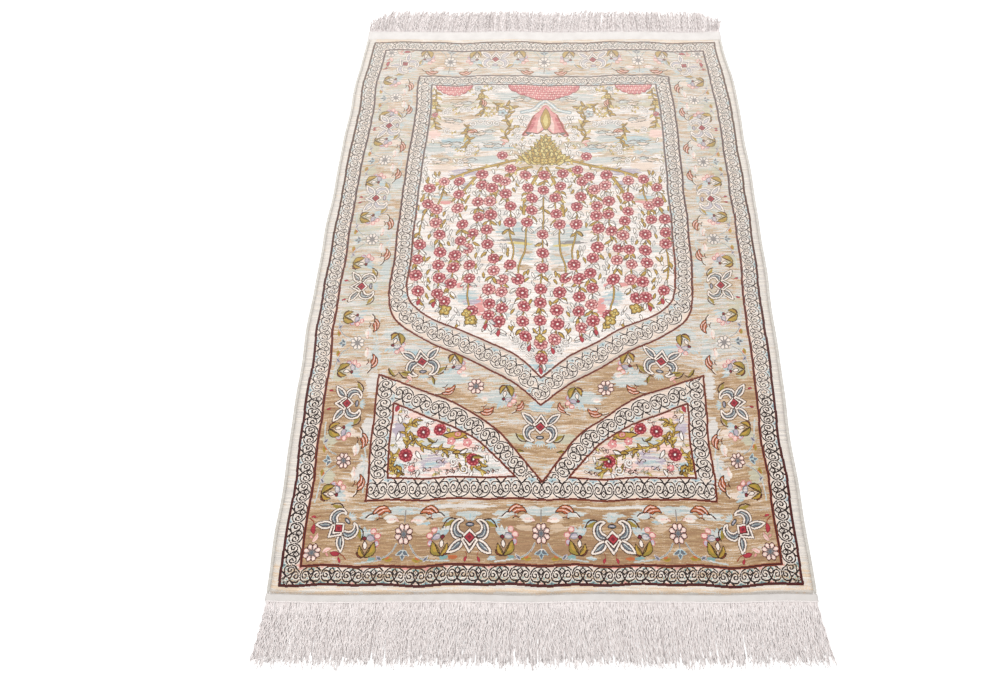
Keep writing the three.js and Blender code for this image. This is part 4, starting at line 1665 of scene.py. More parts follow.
@dataclass(frozen=True)
class SilkPile:
    """Cut silk pile, hand knotted and clipped low: soft, with a lustre that follows its lean, and
    painted sheen that pales its dyes towards the far end.
    """

    roughness: float = 0.4
    sheen: float = 0.06
    sheen_roughness: float = 0.3
    specular: float = 0.24
    # The dyes are mixed towards this pale grey along the rug, most at the far end: painted sheen of
    # silk seen at a low angle.
    painted_sheen_colour: str = "C6BDB3"
    painted_sheen_ramp: tuple[tuple[float, float], ...] = ((0.14, 0.0), (0.36, 0.05), (0.62, 0.14), (1.0, 0.3))
    tone: float = 0.56
    knot_tone: float = 0.18
    row_tone: float = 0.16
    lustre_tone: float = 0.54
    lustre_stretch: tuple[float, float, float] = (22.0, 420.0, 1.0)
    tuft_mm: float = 0.12

    def build(self, counts: tuple[int, int], knots_per_cell: int) -> bpy.types.Material:
        """Makes the material that reads the knot chart off the sheet's faces.

        Args:
            counts: Knots across and along.
            knots_per_cell: Knots along one side of a face.

        Returns:
            The material.
        """
        material, tree, shader = new_material("hand_knotted_silk_pile", {
            "Roughness": self.roughness, "Specular IOR Level": self.specular,
            "Sheen Weight": self.sheen, "Sheen Roughness": self.sheen_roughness})
        dyes = [(dye / len(Dye), linear_rgba(dye.hex_code)) for dye in Dye]
        dyed = self.ramp(tree, self.read_chart(tree, knots_per_cell), dyes)
        dyed.color_ramp.interpolation = "CONSTANT"
        loom = add_node(tree, "UVMap", uv_map="Loom")
        knots = add_node(tree, "VectorMath", {0: loom, 1: (*counts, 1)}, operation="MULTIPLY")
        knot = add_node(tree, "VectorMath", {0: knots}, operation="FLOOR")
        within = add_node(tree, "VectorMath", {0: knots}, operation="FRACTION")
        row = add_node(tree, "SeparateXYZ", {0: knot}).outputs[1]
        yarn = add_node(tree, "TexWhiteNoise", {"Vector": knot}, noise_dimensions="2D")
        weft = add_node(tree, "TexWhiteNoise", {"W": row}, noise_dimensions="1D")
        # The stretched noise streaks the colour along the knot rows: partly yarn tone, partly
        # painted lustre.
        stretched = add_node(tree, "VectorMath", {0: loom, 1: self.lustre_stretch},
                             operation="MULTIPLY")
        lustre = add_node(tree, "TexNoise", {"Vector": stretched, "Scale": 1.0, "Detail": 3.0},
                          noise_dimensions="2D")
        tone: Node | float = self.tone
        for source, amount in ((yarn, self.knot_tone), (weft, self.row_tone),
                               (lustre, self.lustre_tone)):
            tone = add_node(tree, "Math", {0: source, 1: amount, 2: tone},
                            operation="MULTIPLY_ADD")
        # Painted sheen: the dyes are mixed towards a pale grey, more towards the far end.
        along = add_node(tree, "Math", {0: row, 1: 1 / counts[1]}, operation="MULTIPLY")
        share = self.ramp(tree, along, [(at, (grey, grey, grey, 1)) for at, grey in self.painted_sheen_ramp])
        faded = add_node(tree, "Mix", {0: share, 6: dyed, 7: linear_rgba(self.painted_sheen_colour)},
                         data_type="RGBA")
        colour = add_node(tree, "HueSaturation", {"Color": faded.outputs[2], "Value": tone})
        tree.links.new(colour.outputs[0], shader.inputs["Base Color"])
        bump = add_node(tree, "Bump", {"Strength": 0.5, "Distance": self.tuft_mm * MM,
                                       "Height": self.pile_height(tree, within, yarn)})
        tree.links.new(bump.outputs[0], shader.inputs["Normal"])
        return material

    @staticmethod
    def ramp(tree: Tree, share: Node, stops: Sequence[tuple[float, tuple]]) -> Node:
        """Adds a colour ramp with its stops, read at a share.

        Args:
            tree: The node tree.
            share: The node that gives the place on the ramp.
            stops: Place and colour of each stop.

        Returns:
            The ramp.
        """
        node = add_node(tree, "ValToRGB", {0: share})
        elements = node.color_ramp.elements
        elements.remove(elements[-1])
        for number, (place, colour) in enumerate(stops):
            stop = elements.new(place) if number else elements[0]
            stop.position, stop.color = place, colour
        return node

    @staticmethod
    def pile_height(tree: Tree, within: Node, yarn: Node) -> Node:
        """Gives each knot a low tuft that leans towards the near end.

        Args:
            tree: The node tree.
            within: Gives the place within a knot.
            yarn: Gives the knot's own random value.

        Returns:
            The node that gives the height.
        """
        parts = add_node(tree, "SeparateXYZ", {0: within})
        dome = add_node(tree, "Math", {0: parts, 1: 0.5}, operation="PINGPONG")
        lean = add_node(tree, "Math", {0: parts.outputs[1], 1: 0.9, 2: dome},
                        operation="MULTIPLY_ADD")
        return add_node(tree, "Math", {0: yarn, 1: 0.8, 2: lean}, operation="MULTIPLY_ADD")

    @staticmethod
    def read_chart(tree: Tree, per_cell: int) -> Node:
        """Unpacks the dye number of the knot at hand from the face's nine packed numbers.

        Args:
            tree: The node tree.
            per_cell: Knots along one side of a face.

        Returns:
            The last node, which gives the dye's place on the colour ramp.
        """
        cell = add_node(tree, "UVMap", uv_map="Cell")
        spots = add_node(tree, "VectorMath", {0: cell, "Scale": per_cell}, operation="SCALE")
        whole = add_node(tree, "VectorMath", {0: spots}, operation="FLOOR")
        low = add_node(tree, "VectorMath", {0: whole, 1: (0, 0, 0)}, operation="MAXIMUM")
        held = add_node(tree, "VectorMath", {0: low, 1: (per_cell - 1, per_cell - 1, 0)},
                        operation="MINIMUM")
        parts = add_node(tree, "SeparateXYZ", {0: held})
        index = add_node(tree, "Math", {0: parts.outputs[1], 1: per_cell, 2: parts},
                         operation="MULTIPLY_ADD")
        quarter = add_node(tree, "Math", {0: index, 1: 1 / KNOTS_PER_NUMBER},
                           operation="MULTIPLY")
        word = add_node(tree, "Math", {0: quarter}, operation="FLOOR")
        place = add_node(tree, "Math", {0: word, 1: -KNOTS_PER_NUMBER, 2: index},
                         operation="MULTIPLY_ADD")
        total: Node | float = 0.0
        for group in range(3):
            packed = add_node(tree, "Attribute", attribute_type="GEOMETRY",
                              attribute_name=f"knots_{group}")
            pick = add_node(tree, "CombineXYZ", {
                axis: add_node(tree, "Math", {0: word, 1: group * 3 + axis, 2: 0.5},
                               operation="COMPARE") for axis in range(3)})
            dot = add_node(tree, "VectorMath", {0: packed.outputs["Vector"], 1: pick},
                           operation="DOT_PRODUCT")
            total = add_node(tree, "Math", {0: dot.outputs["Value"], 1: total}, operation="ADD")
        divisor: Node | float = 1.0
        for digit in range(1, KNOTS_PER_NUMBER):
            there = add_node(tree, "Math", {0: place, 1: digit, 2: 0.5}, operation="COMPARE")
            divisor = add_node(tree, "Math", {0: there, 1: len(Dye) ** digit - 1, 2: divisor},
                               operation="MULTIPLY_ADD")
        scaled = add_node(tree, "Math", {0: total, 1: divisor}, operation="DIVIDE")
        digits = add_node(tree, "Math", {0: scaled}, operation="FLOOR")
        dye = add_node(tree, "Math", {0: digits, 1: len(Dye)}, operation="FLOORED_MODULO")
        return add_node(tree, "Math", {0: dye, 1: 1 / len(Dye), 2: 0.5 / len(Dye)},
                        operation="MULTIPLY_ADD")


@dataclass(frozen=True)
class UndyedSilk:
    """Undyed silk between a shaded and a lit tone, with the relief of its yarns."""

    name: str
    colour: str
    shade: str
    roughness: float
    sheen: float
    relief: float
    relief_mm: float

    def make(self, lay: Callable[[Tree], tuple[Node, Node]]) -> bpy.types.Material:
        """Makes the material.

        Args:
            lay: Adds the yarns' nodes and gives the share of the lit tone and the height.

        Returns:
            The material.
        """
        material, tree, shader = new_material(
            self.name, {"Roughness": self.roughness, "Sheen Weight": self.sheen})
        share, height = lay(tree)
        colour = add_node(tree, "Mix", {0: share, 6: linear_rgba(self.shade),
                                        7: linear_rgba(self.colour)}, data_type="RGBA")
        bump = add_node(tree, "Bump", {"Strength": self.relief, "Distance": self.relief_mm * MM,
                                       "Height": height})
        tree.links.new(colour.outputs[2], shader.inputs["Base Color"])
        tree.links.new(bump.outputs[0], shader.inputs["Normal"])
        return material


@dataclass(frozen=True)
class TwistedSilk(UndyedSilk):
    """Plied silk yarn, undyed and unglazed: matt, with a soft gloss along the ply."""

    roughness: float = 0.6
    sheen: float = 0.3
    relief: float = 0.6
    relief_mm: float = 0.15
    ply_mm: float = 1.6

    def build(self) -> bpy.types.Material:
        """Makes the material. It reads the yarn's own map, in millimetres along and round."""
        return self.make(self.lay_plies)

    def lay_plies(self, tree: Tree) -> tuple[Node, Node]:
        """Lays slanted plies and fine flecks.

        Args:
            tree: The node tree.

        Returns:
            The share of the lit tone, and the height.
        """
        along = add_node(tree, "UVMap", uv_map="Yarn")
        parts = add_node(tree, "SeparateXYZ", {0: along})
        turned = add_node(tree, "Math", {0: parts, 1: 1 / self.ply_mm, 2: parts.outputs[1]},
                          operation="MULTIPLY_ADD")
        ply = add_node(tree, "Math", {0: turned, 1: 0.5}, operation="PINGPONG")
        tone = add_node(tree, "Attribute", attribute_type="GEOMETRY", attribute_name="tone")
        place = add_node(tree, "TexCoord")
        fleck = add_node(tree, "TexNoise", {"Vector": place.outputs["Object"], "Scale": 400.0,
                                            "Detail": 2.0})
        plied = add_node(tree, "Math", {0: ply, 1: -0.3, 2: tone.outputs["Fac"]},
                         operation="MULTIPLY_ADD")
        return add_node(tree, "Math", {0: fleck, 1: 0.35, 2: plied},
                        operation="MULTIPLY_ADD", use_clamp=True), ply


@dataclass(frozen=True)
class FlatWeave(UndyedSilk):
    """Plain flat weave of undyed silk, its wefts beaten close over fine warps."""

    name: str = "flat_woven_silk"
    colour: str = "E5E0DC"
    shade: str = "C9C2BE"
    roughness: float = 0.7
    sheen: float = 0.25
    relief: float = 0.5
    relief_mm: float = 0.2
    yarns_mm: tuple[float, float] = (1.3, 0.9)

    def build(self) -> bpy.types.Material:
        """Makes the material on Object coordinates."""
        return self.make(self.lay_weave)

    def lay_weave(self, tree: Tree) -> tuple[Node, Node]:
        """Lays warps, wefts and cloudy wear.

        Args:
            tree: The node tree.

        Returns:
            The share of the lit tone, and the height.
        """
        place = add_node(tree, "TexCoord").outputs["Object"]
        parts = add_node(tree, "SeparateXYZ", {0: place})
        ribs = []
        for axis, yarn_mm in enumerate(self.yarns_mm):
            count = add_node(tree, "Math", {0: parts.outputs[axis], 1: 1 / (yarn_mm * MM)},
                             operation="MULTIPLY")
            ribs.append(add_node(tree, "Math", {0: count, 1: 0.5}, operation="PINGPONG"))
        weave = add_node(tree, "Math", dict(enumerate(ribs)), operation="ADD")
        cloudy = add_node(tree, "TexNoise", {"Vector": place, "Scale": 60.0, "Detail": 4.0})
        return add_node(tree, "Math", {0: weave, 1: 0.55, 2: cloudy},
                        operation="MULTIPLY_ADD", use_clamp=True), weave


def mesh_object(name: str, vertices: Points, *faces: np.ndarray) -> bpy.types.Object:
    """Makes a mesh object at the origin.

    Args:
        name: The piece's name.
        vertices: Points in millimetres.
        *faces: Arrays of faces, each of faces with one number of corners.

    Returns:
        The object.
    """
    mesh = bpy.data.meshes.new(name)
    corners = [face for group in faces for face in group.tolist()]
    mesh.from_pydata((vertices * MM).tolist(), [], corners)
    mesh.update()
    piece = bpy.data.objects.new(name, mesh)
    bpy.context.scene.collection.objects.link(piece)
    return piece


def dress(piece: bpy.types.Object, material: bpy.types.Material) -> None:
    """Gives a piece its material, its smooth faces and its place on the rug.

    Args:
        piece: The piece.
        material: Its material.
    """
    piece.data.materials.clear()
    piece.data.materials.append(material)
    piece.data.polygons.foreach_set("use_smooth", [True] * len(piece.data.polygons))
    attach(piece, "root")


def vertex_of_corner(mesh: bpy.types.Mesh) -> np.ndarray:
    """Gives the vertex number of each face corner.

    Args:
        mesh: The mesh.

    Returns:
        One vertex number for each corner, face by face.
    """
    corner = np.empty(len(mesh.loops), np.int32)
    mesh.loops.foreach_get("vertex_index", corner)
    return corner


def write_map(mesh: bpy.types.Mesh, name: str, values: np.ndarray) -> None:
    """Writes a UV map from two values for each face corner."""
    layer = mesh.uv_layers.new(name=name)
    layer.uv.foreach_set("vector", values.astype(np.float32).ravel())


@dataclass
class RugPiece:
    """A piece that is laid out on the rug's plan. Sizes are millimetres."""

    plan: ClothPlan
    origin: tuple[float, float]

    def seat(self, x: np.ndarray, y: np.ndarray, z: np.ndarray | float) -> Points:
        """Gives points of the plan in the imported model's own frame."""
        moved = x - self.origin[0], y - self.origin[1], z
        return np.stack(np.broadcast_arrays(*moved), -1)


@dataclass
class KnottedCloth(RugPiece):
    """The pile cloth: one thin sheet on the rug's outline, its knots read from the chart."""

    drift_mm: float = 1.7
    still_margin: float = 30.0

    def drift(self, x: np.ndarray, y: np.ndarray) -> tuple[np.ndarray, np.ndarray]:
        """Gives the small waver of hand weaving in the sheet's own plane.

        Args:
            x: X of the places.
            y: Y of the places.

        Returns:
            How far each place is off in X and in Y.
        """
        sides = np.minimum(x - self.plan.cloth_edge(-1, y), self.plan.cloth_edge(1, y) - x)
        held = smoothstep(np.minimum(sides, np.minimum(y, self.plan.length - y)), 0,
                          self.still_margin)
        dx = np.sin(y / 37.0 + 1.1) * 0.5 + np.sin(y / 88.0 + x / 210.0) * 0.5
        dy = np.sin(x / 24.0 + y / 130.0) * 0.45 + np.sin(x / 61.0 + 2.0 + y / 260.0) * 0.55
        return self.drift_mm * held * dx, self.drift_mm * held * dy

    def build(self) -> bpy.types.Object:
        """Makes the sheet, packs the chart on its faces and dresses it.

        Returns:
            The sheet.
        """
        columns, rows = RugChart.cells
        bpy.ops.object.select_all(action="DESELECT")
        bpy.ops.mesh.primitive_grid_add(x_subdivisions=columns, y_subdivisions=rows, size=1)
        piece = bpy.context.object
        piece.name = piece.data.name = "silk_pile"
        mesh = piece.data
        place = np.empty(len(mesh.vertices) * 3)
        mesh.vertices.foreach_get("co", place)
        share = place.reshape(-1, 3)[:, :2] + 0.5
        x, y = self.plan.cloth_point(share[:, 0], share[:, 1])
        lift = self.plan.lift(x, y)
        dx, dy = self.drift(x, y)
        top = self.seat(x + dx, y + dy, lift + self.plan.thickness)
        mesh.vertices.foreach_set("co", (top * MM).ravel())
        self.map_faces(mesh, share)
        shell = piece.modifiers.new("thickness", "SOLIDIFY")
        shell.thickness = self.plan.thickness * MM
        shell.offset = -1.0
        shell.use_even_offset = False
        bpy.ops.object.modifier_apply(modifier=shell.name)
        counts = tuple(n * RugChart.knots_per_cell for n in RugChart.cells)
        dress(piece, SilkPile().build(counts, RugChart.knots_per_cell))
        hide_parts("pile_cloth")
        return piece

    @staticmethod
    def map_faces(mesh: bpy.types.Mesh, share: Points) -> None:
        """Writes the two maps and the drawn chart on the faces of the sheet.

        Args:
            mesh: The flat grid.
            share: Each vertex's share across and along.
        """
        columns, rows = RugChart.cells
        at = share[vertex_of_corner(mesh)].reshape(-1, 4, 2)
        grid = np.array([columns, rows])
        cell = np.floor(at.mean(1) * grid).astype(int)
        while mesh.uv_layers:
            mesh.uv_layers.remove(mesh.uv_layers[0])
        write_map(mesh, "Loom", at)
        write_map(mesh, "Cell", at * grid - cell[:, None, :])
        side = RugChart.knots_per_cell
        chart = RugChart().draw().astype(np.int64)
        blocks = chart.reshape(rows, side, columns, side).transpose(0, 2, 1, 3)
        words = blocks.reshape(rows, columns, -1, KNOTS_PER_NUMBER)
        packed = (words * len(Dye) ** np.arange(KNOTS_PER_NUMBER)).sum(-1)
        chosen = packed[cell[:, 1], cell[:, 0]].astype(np.float32)
        for group in range(3):
            layer = mesh.attributes.new(f"knots_{group}", "FLOAT_VECTOR", "FACE")
            layer.data.foreach_set("vector", chosen[:, group * 3 : group * 3 + 3].ravel())


def sweep(path: Points, section: Callable[[int], Points]) -> tuple[np.ndarray, ...]:
    """Sweeps closed sections along a path that runs mostly along Y or X.

    Args:
        path: Middle points, in millimetres.
        section: Gives, for a step's number, the section's offsets sideways and upwards.

    Returns:
        Vertices, four-sided faces and the two end caps.
    """
    runs = np.gradient(path, axis=0)
    side = np.stack([-runs[:, 1], runs[:, 0]], 1)
    side /= np.maximum(np.hypot(side[:, 0], side[:, 1]), 1e-9)[:, None]
    sections = np.stack([section(step) for step in range(len(path))])
    vertices = np.empty((*sections.shape[:2], 3))
    vertices[..., :2] = path[:, None, :2] + sections[..., :1] * side[:, None, :]
    vertices[..., 2] = path[:, None, 2] + sections[..., 1]
    around = sections.shape[1]
    ring = np.arange(len(path) - 1)[:, None] * around
    here, after = np.arange(around), (np.arange(around) + 1) % around
    faces = np.stack([ring + here, ring + after, ring + after + around, ring + here + around], -1)
    caps = np.stack([here[::-1], here + (len(path) - 1) * around])
    return vertices.reshape(-1, 3), faces.reshape(-1, 4), caps


@dataclass
class SideCord(RugPiece):
    """The whipped cord along one long side, its turns as slanted ridges."""

    side: int
    name: str
    steps: int = 760
    around: int = 12
    whip: float = 2.5
    ridge: float = 0.09
    end_share: float = 0.55
    end_growth: float = 0.15

    def build(self, material: bpy.types.Material) -> bpy.types.Object:
        """Makes and dresses the cord.

        Args:
            material: The whipping's yarn.

        Returns:
            The cord.
        """
        along = np.linspace(0, 1, self.steps + 1)
        middle = self.plan.finished_edge(self.side, along * self.plan.length)
        middle = middle - self.side * self.plan.cord_width / 2
        y = self.plan.place_along(middle, along)
        height = self.plan.cord_height / 2
        angle = np.linspace(0, 2 * np.pi, self.around, endpoint=False)

        def section(step: int) -> Points:
            """Gives the cord's oval at a step, swollen where the whipping passes."""
            phase = y[step] / self.whip * 2 * np.pi
            swell = 1 - self.ridge + self.ridge * np.cos(angle * self.side - phase)
            end = min(1.0, self.end_share + self.end_growth * min(step, self.steps - step))
            wide = self.plan.cord_width / 2 * swell * end
            high = height * swell * end
            return np.stack([wide * np.cos(angle), high * np.sin(angle)], 1)

        piece = mesh_object(self.name, *sweep(self.seat(middle, y, height), section))
        yarn_map(piece, y.repeat(self.around), np.tile(angle / (2 * np.pi), len(y)),
                 0.35 + 0.3 * scatter(np.floor(y.repeat(self.around) / self.whip), 4.0))
        dress(piece, material)
        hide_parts(self.name.replace("whip_", ""))
        return piece


def yarn_map(piece: bpy.types.Object, along: np.ndarray, around: np.ndarray,
             tone: np.ndarray) -> None:
    """Writes a yarn's map and tone.

    Args:
        piece: The yarn's object.
        along: Millimetres along the yarn, for each vertex.
        around: Turns round the yarn, for each vertex.
        tone: From 0, dark, to 1, light, for each vertex.
    """
    mesh = piece.data
    values = np.stack([along, around], 1)[vertex_of_corner(mesh)]
    face = np.empty(len(mesh.polygons), np.int32)
    mesh.polygons.foreach_get("loop_start", face)
    first = values[np.repeat(face, np.diff(np.append(face, len(values)))), 1]
    values[:, 1] += np.round(first - values[:, 1])
    write_map(mesh, "Yarn", values)
    attribute = mesh.attributes.new("tone", "FLOAT", "POINT")
    attribute.data.foreach_set("value", np.asarray(tone, np.float32))


@dataclass(frozen=True)
class StrandLayer:
    """One layer of a warp fringe, in millimetres."""

    strands: int
    steps: int
    radius: float
    crinkle: float
    wave: float
    tone: float
    tone_range: float
    shorter: float
    heap: float
    curl: float
    loose: float


@dataclass(frozen=True)
class EndSizes:
    """Sizes of one end of the rug, in millimetres."""

    name: str
    far: bool
    strip_depth: float
    strand_length: float
    splay_left: float
    splay_right: float
    sway: float
    sway_wave: float
    corner: float
    corner_cut: float
    ragged: float
    seed: int
    layers: tuple[StrandLayer, ...]


# The bed's strands are toned dark: painted shade between and under the top strands.
PAINTED_SHADE_BED = StrandLayer(strands=460, steps=9, radius=1.0, crinkle=0.3, wave=26.0, tone=0.3,
                  tone_range=0.3, shorter=5.0, heap=0.4, curl=1.0, loose=1.6)
NEAR_TOP = StrandLayer(strands=620, steps=31, radius=0.74, crinkle=0.9, wave=12.0, tone=0.9,
                       tone_range=0.6, shorter=0.0, heap=1.8, curl=5.0, loose=6.0)
FAR_TOP = StrandLayer(strands=430, steps=24, radius=0.84, crinkle=0.9, wave=13.0, tone=0.0,
                      tone_range=0.9, shorter=0.0, heap=2.2, curl=5.0, loose=7.0)
NEAR_END = EndSizes(name="near", far=False, strip_depth=9.5, strand_length=67, splay_left=5,
                    splay_right=8, sway=3.5, sway_wave=310, corner=10, corner_cut=4, ragged=9,
                    seed=3, layers=(PAINTED_SHADE_BED, NEAR_TOP))
FAR_END = EndSizes(name="far", far=True, strip_depth=22, strand_length=56, splay_left=-6,
                   splay_right=1, sway=5, sway_wave=240, corner=45, corner_cut=24, ragged=10,
                   seed=8, layers=(PAINTED_SHADE_BED, FAR_TOP))


@dataclass
class RugEnd(RugPiece):
    """One end: the flat-woven strip, the twined row that locks it and the warp fringe."""

    sizes: EndSizes
    strip_thickness: float = 1.6
    strip_columns: int = 281
    pucker: float = 0.12
    strand_sides: int = 3
    root_margin: float = 1.6
    root_jitter: float = 0.7
    tuck: float = 1.5
    lock: float = 5.0
    lock_ragged: float = 3.0
    lock_lean: float = 1.6
    tip_taper: float = 0.35
    twine_steps: int = 1300
    twine_sides: int = 7
    twine_turn: float = 2.2
    twine_inset: float = 0.6
    twine_level: float = 1.05
    twine_half: tuple[float, float] = (0.85, 0.95)

    def __post_init__(self) -> None:
        """Finds the strip's two ends, and which way along Y is outwards."""
        place = self.plan.length if self.sizes.far else 0.0
        self.left, self.right = (float(self.plan.finished_edge(s, place)) for s in (-1, 1))
        self.way = 1 if self.sizes.far else -1

    def edge_line(self, x: np.ndarray, out: np.ndarray | float) -> np.ndarray:
        """Gives Y at a distance outwards from the strip's root."""
        return self.plan.end_line(self.sizes.far, x) + self.way * self.plan.gap + self.way * out

    def vary(self, count: np.ndarray, use: float) -> np.ndarray:
        """Gives each counted thing a number from 0 to 1, another for each use and end."""
        return scatter(count, self.sizes.seed + use)

    def build_strip(self, material: bpy.types.Material) -> bpy.types.Object:
        """Makes the flat-woven strip, a little rounded at its rim.

        Args:
            material: The flat weave.

        Returns:
            The strip.
        """
        depth = self.sizes.strip_depth
        outs = np.array([0.0, 0.25, 0.6, *np.linspace(1.5, depth - 1.5, 7), depth - 0.6,
                         depth - 0.25, depth])
        rim = np.minimum(outs, depth - outs)[:, None]
        high = self.strip_thickness * (0.45 + 0.55 * smoothstep(rim, -0.1, 0.9))
        x, out = np.meshgrid(np.linspace(self.left, self.right, self.strip_columns), outs)
        pucker = self.pucker * np.sin(x / 3.1 + np.sin(x / 17.0)) * smoothstep(rim, 0, 2)
        top = self.seat(x, self.edge_line(x, out), high + pucker)
        corner = np.arange(x.size).reshape(x.shape)
        under = corner + x.size
        quads = np.stack([corner[:-1, :-1], corner[:-1, 1:], corner[1:, 1:], corner[1:, :-1]], -1)
        quads = quads.reshape(-1, 4)
        sheets = np.stack([quads[:, :: self.way], (quads + x.size)[:, :: -self.way]], 1)
        rims = [np.concatenate([side[0], side[1:, -1], side[-1, -2::-1], side[-2:0:-1, 0]])
                for side in (corner, under)]
        walls = np.stack([rims[1], np.roll(rims[1], -1), np.roll(rims[0], -1), rims[0]], 1)
        piece = mesh_object(f"end_weave_{self.sizes.name}",
                            np.vstack([top.reshape(-1, 3), (top * (1, 1, 0)).reshape(-1, 3)]),
                            sheets.reshape(-1, 4), walls[:, :: self.way])
        dress(piece, material)
        return piece

    def strand_paths(self, layer: StrandLayer) -> tuple[Points, np.ndarray, np.ndarray]:
        """Lays out the middle line of every strand of a layer.

        Args:
            layer: The layer's sizes.

        Returns:
            The points of each strand, each strand's thickness share and its tone.
        """
        s = self.sizes
        number = np.arange(layer.strands)
        share = (number + 0.5) / layer.strands
        width = self.right - self.left - 2 * self.root_margin
        root_x = self.left + self.root_margin + width * share
        root_x = root_x + (self.vary(number, 0.0) - 0.5) * self.root_jitter
        lock = np.floor(root_x / self.lock)
        inset = np.minimum(root_x - self.left, self.right - root_x)
        corner = 1 - smoothstep(inset, 0, s.corner)
        length = s.strand_length - layer.shorter - s.corner_cut * corner
        length = length + s.ragged * (self.vary(number, 0.3) - 0.55)
        length = length + self.lock_ragged * (self.vary(lock, 0.6) - 0.5)
        splay = -s.splay_left + (s.splay_right + s.splay_left) * share
        lean = s.sway * np.sin(2 * np.pi * root_x / s.sway_wave) + splay
        lean = lean + self.lock_lean * (self.vary(lock, 1.1) - 0.5)
        lean = lean + layer.loose * (self.vary(number, 1.7) - 0.5)
        phase = (2 * np.pi * self.vary(number, 2.9))[:, None]
        wave = layer.wave * (0.8 + 0.4 * self.vary(number, 2.3))[:, None]
        t = np.linspace(0, 1, layer.steps + 1)[None, :]
        turn = 2 * np.pi * length[:, None] * t / wave + phase + 1.4 * np.sin(5 * t + phase)
        crinkle = layer.crinkle * smoothstep(t, -0.15, 0.35)
        x = root_x[:, None] + lean[:, None] * t**1.4 + crinkle * np.sin(turn)
        x = x + layer.curl * (self.vary(number, 5.9) - 0.5)[:, None] * 2 * t**8
        y = self.edge_line(x, s.strip_depth - self.tuck + (length + self.tuck)[:, None] * t)
        level = self.vary(number, 3.1)[:, None] * layer.heap
        z = 0.8 + level * smoothstep(t, 0.0, 0.28) * (1 - 0.5 * t**2)
        z = np.maximum(z + 0.5 * crinkle * np.cos(turn * 0.8), layer.radius)
        thick = 0.85 + 0.3 * self.vary(number, 4.1)
        return self.seat(x, y, z), thick, layer.tone + layer.tone_range * self.vary(number, 4.9)

    def build_layer(self, layer: StrandLayer) -> tuple[Points, list, np.ndarray, np.ndarray]:
        """Makes the tubes of one layer.

        Args:
            layer: The layer's sizes.

        Returns:
            Vertices, arrays of faces, and the length along the yarn and the tone of each vertex.
        """
        paths, thick, tone = self.strand_paths(layer)
        steps, sides = paths.shape[1], self.strand_sides
        angle = np.linspace(0, 2 * np.pi, sides, endpoint=False) + np.pi / 2
        taper = 1 - self.tip_taper * np.linspace(0, 1, steps) ** 6
        radius = (layer.radius * thick[:, None] * taper[None, :])[..., None]
        vertices = np.repeat(paths[:, :, None, :], sides, 2)
        vertices[..., 0] += radius * np.cos(angle)
        vertices[..., 2] += radius * np.sin(angle)
        first = np.arange(layer.strands)[:, None] * steps * sides
        ring = (first + np.arange(steps - 1)[None, :] * sides)[..., None]
        here, after = np.arange(sides), (np.arange(sides) + 1) % sides
        tubes = np.stack([ring + here, ring + after, ring + after + sides, ring + here + sides], -1)
        root, tip = first + here[::-1], first + (steps - 1) * sides + here
        faces = [group[:, :: -self.way] for group in (tubes.reshape(-1, 4), root, tip)]
        along = np.linspace(0, self.sizes.strand_length, steps).repeat(sides)
        return (vertices.reshape(-1, 3), faces, np.tile(along, layer.strands),
                tone.repeat(steps * sides))

    def build_fringe(self, material: bpy.types.Material) -> bpy.types.Object:
        """Makes all the strands of this end as one joined mesh.

        Args:
            material: The warp yarn.

        Returns:
            The fringe.
        """
        points, groups, along, tone = zip(*map(self.build_layer, self.sizes.layers))
        bases = np.cumsum([0, *map(len, points)])
        faces = [group + base for base, layer in zip(bases, groups) for group in layer]
        vertices = np.vstack(points)
        piece = mesh_object(f"warp_fringe_{self.sizes.name}", vertices, *faces)
        turns = np.arange(len(vertices)) % self.strand_sides / self.strand_sides
        yarn_map(piece, np.concatenate(along), turns, np.concatenate(tone))
        dress(piece, material)
        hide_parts(f"fringe_{self.sizes.name}")
        return piece

    def build_twining(self, material: bpy.types.Material) -> bpy.types.Object:
        """Makes the twined row of weft that locks the strip, in slanted ridges.

        Args:
            material: The warp yarn.

        Returns:
            The row.
        """
        x = np.linspace(self.left + self.twine_inset, self.right - self.twine_inset,
                        self.twine_steps)
        path = self.seat(x, self.edge_line(x, self.sizes.strip_depth - 0.4), self.twine_level)
        angle = np.linspace(0, 2 * np.pi, self.twine_sides, endpoint=False)
        wide, high = self.twine_half

        def section(step: int) -> Points:
            """Gives the row's oval, pinched between its turns."""
            swell = 0.86 + 0.14 * np.cos(angle - x[step] / self.twine_turn * 2 * np.pi)
            return np.stack([wide * swell * np.cos(angle), high * swell * np.sin(angle)], 1)

        piece = mesh_object(f"twined_row_{self.sizes.name}", *sweep(path, section))
        yarn_map(piece, x.repeat(self.twine_sides), np.tile(angle / (2 * np.pi), len(x)),
                 np.full(len(piece.data.vertices), 0.85))
        dress(piece, material)
        return piece


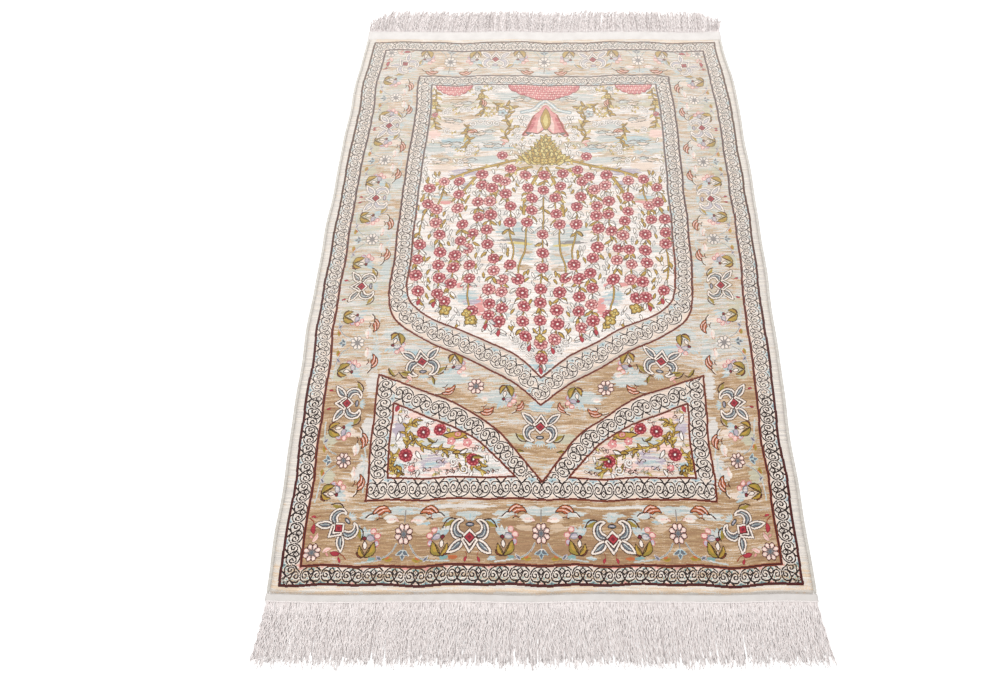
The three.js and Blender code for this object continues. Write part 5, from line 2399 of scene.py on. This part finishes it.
@dataclass
class Studio:
    """A pale floor, soft light and the camera at the photograph's angle."""

    origin: tuple[float, float]
    eye_mm: tuple[float, float, float] = (5.4, -118.2, 870.4)
    pitch: float = 62.3
    lens: float = 25.2
    sensor: float = 36.0
    shift: float = -0.046
    floor_size: float = 12.0
    floor_drop: float = 0.0001
    floor_glow: float = 0.35
    sky: float = 0.64

    # Each light's name, place, width, height and power.
    PANELS = (
        ("back_panel", (0.0, 2.2, 1.6), 3.0, 1.4, 44.0),
        ("top_panel", (-0.5, -0.1, 2.2), 1.8, 1.8, 13.0),
    )

    def build(self) -> None:
        """Adds the camera, the floor and the lights."""
        self.camera()
        self.floor()
        self.lights()

    def camera(self) -> None:
        """Sets the camera above the near end, looking down along the rug."""
        data = bpy.data.cameras.new("camera")
        data.lens, data.sensor_width, data.shift_x = self.lens, self.sensor, self.shift
        data.clip_start = 0.01
        camera = bpy.data.objects.new("camera", data)
        camera.location = [(eye - zero) * MM for eye, zero in zip(self.eye_mm, (*self.origin, 0))]
        camera.rotation_euler = (math.radians(90 - self.pitch), 0, 0)
        bpy.context.scene.collection.objects.link(camera)
        bpy.context.scene.camera = camera

    def floor(self) -> None:
        """Lays the matt white floor, with a glow of its own so that it stays white."""
        bpy.ops.object.select_all(action="DESELECT")
        bpy.ops.mesh.primitive_plane_add(size=self.floor_size, location=(0, 0, -self.floor_drop))
        floor = bpy.context.object
        floor.name = "floor"
        material, *_ = new_material("matt_white_floor", {
            "Base Color": linear_rgba("F6F6F6"), "Roughness": 0.9, "Specular IOR Level": 0.1,
            "Emission Color": linear_rgba("FFFFFF"), "Emission Strength": self.floor_glow})
        floor.data.materials.append(material)

    def lights(self) -> None:
        """Adds an even sky and two large soft lights."""
        scene = bpy.context.scene
        scene.view_settings.view_transform = "Standard"
        scene.world = bpy.data.worlds.new("studio")
        scene.world.use_nodes = True
        background = scene.world.node_tree.nodes["Background"]
        background.inputs["Color"].default_value = (1, 1, 1, 1)
        background.inputs["Strength"].default_value = self.sky
        for name, place, wide, high, power in self.PANELS:
            data = bpy.data.lights.new(name, "AREA")
            data.shape = "RECTANGLE"
            data.size, data.size_y, data.energy = wide, high, power
            light = bpy.data.objects.new(name, data)
            light.location = place
            light.rotation_euler = (-light.location).to_track_quat("-Z", "Y").to_euler()
            scene.collection.objects.link(light)


def main() -> None:
    """Builds the studio and the rug's pieces in order, and reports each."""
    logging.basicConfig(level=logging.INFO, format="%(name)s: %(message)s")
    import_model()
    plan = ClothPlan()
    origin = plan.origin()
    LOG.info("origin at %.2f, %.2f mm", *origin)
    Studio(origin).build()
    warp = TwistedSilk("twisted_warp_silk", "FFF8F6", "C4B8B5").build()
    whip = TwistedSilk("whipped_selvedge_silk", "E4E0D8", "B0A89F", ply_mm=2.5).build()
    weave = FlatWeave().build()
    cloth = KnottedCloth(plan, origin).build()
    LOG.info("pile cloth: %d faces", len(cloth.data.polygons))
    trims = []
    for side, name in ((-1, "selvedge_whip_left"), (1, "selvedge_whip_right")):
        trims.append(SideCord(plan, origin, side, name).build(whip))
    for sizes in (NEAR_END, FAR_END):
        end = RugEnd(plan, origin, sizes)
        trims += [end.build_strip(weave), end.build_twining(warp), end.build_fringe(warp)]
    for piece in trims:
        LOG.info("%s: %d faces", piece.name, len(piece.data.polygons))


if __name__ == "__main__":
    main()
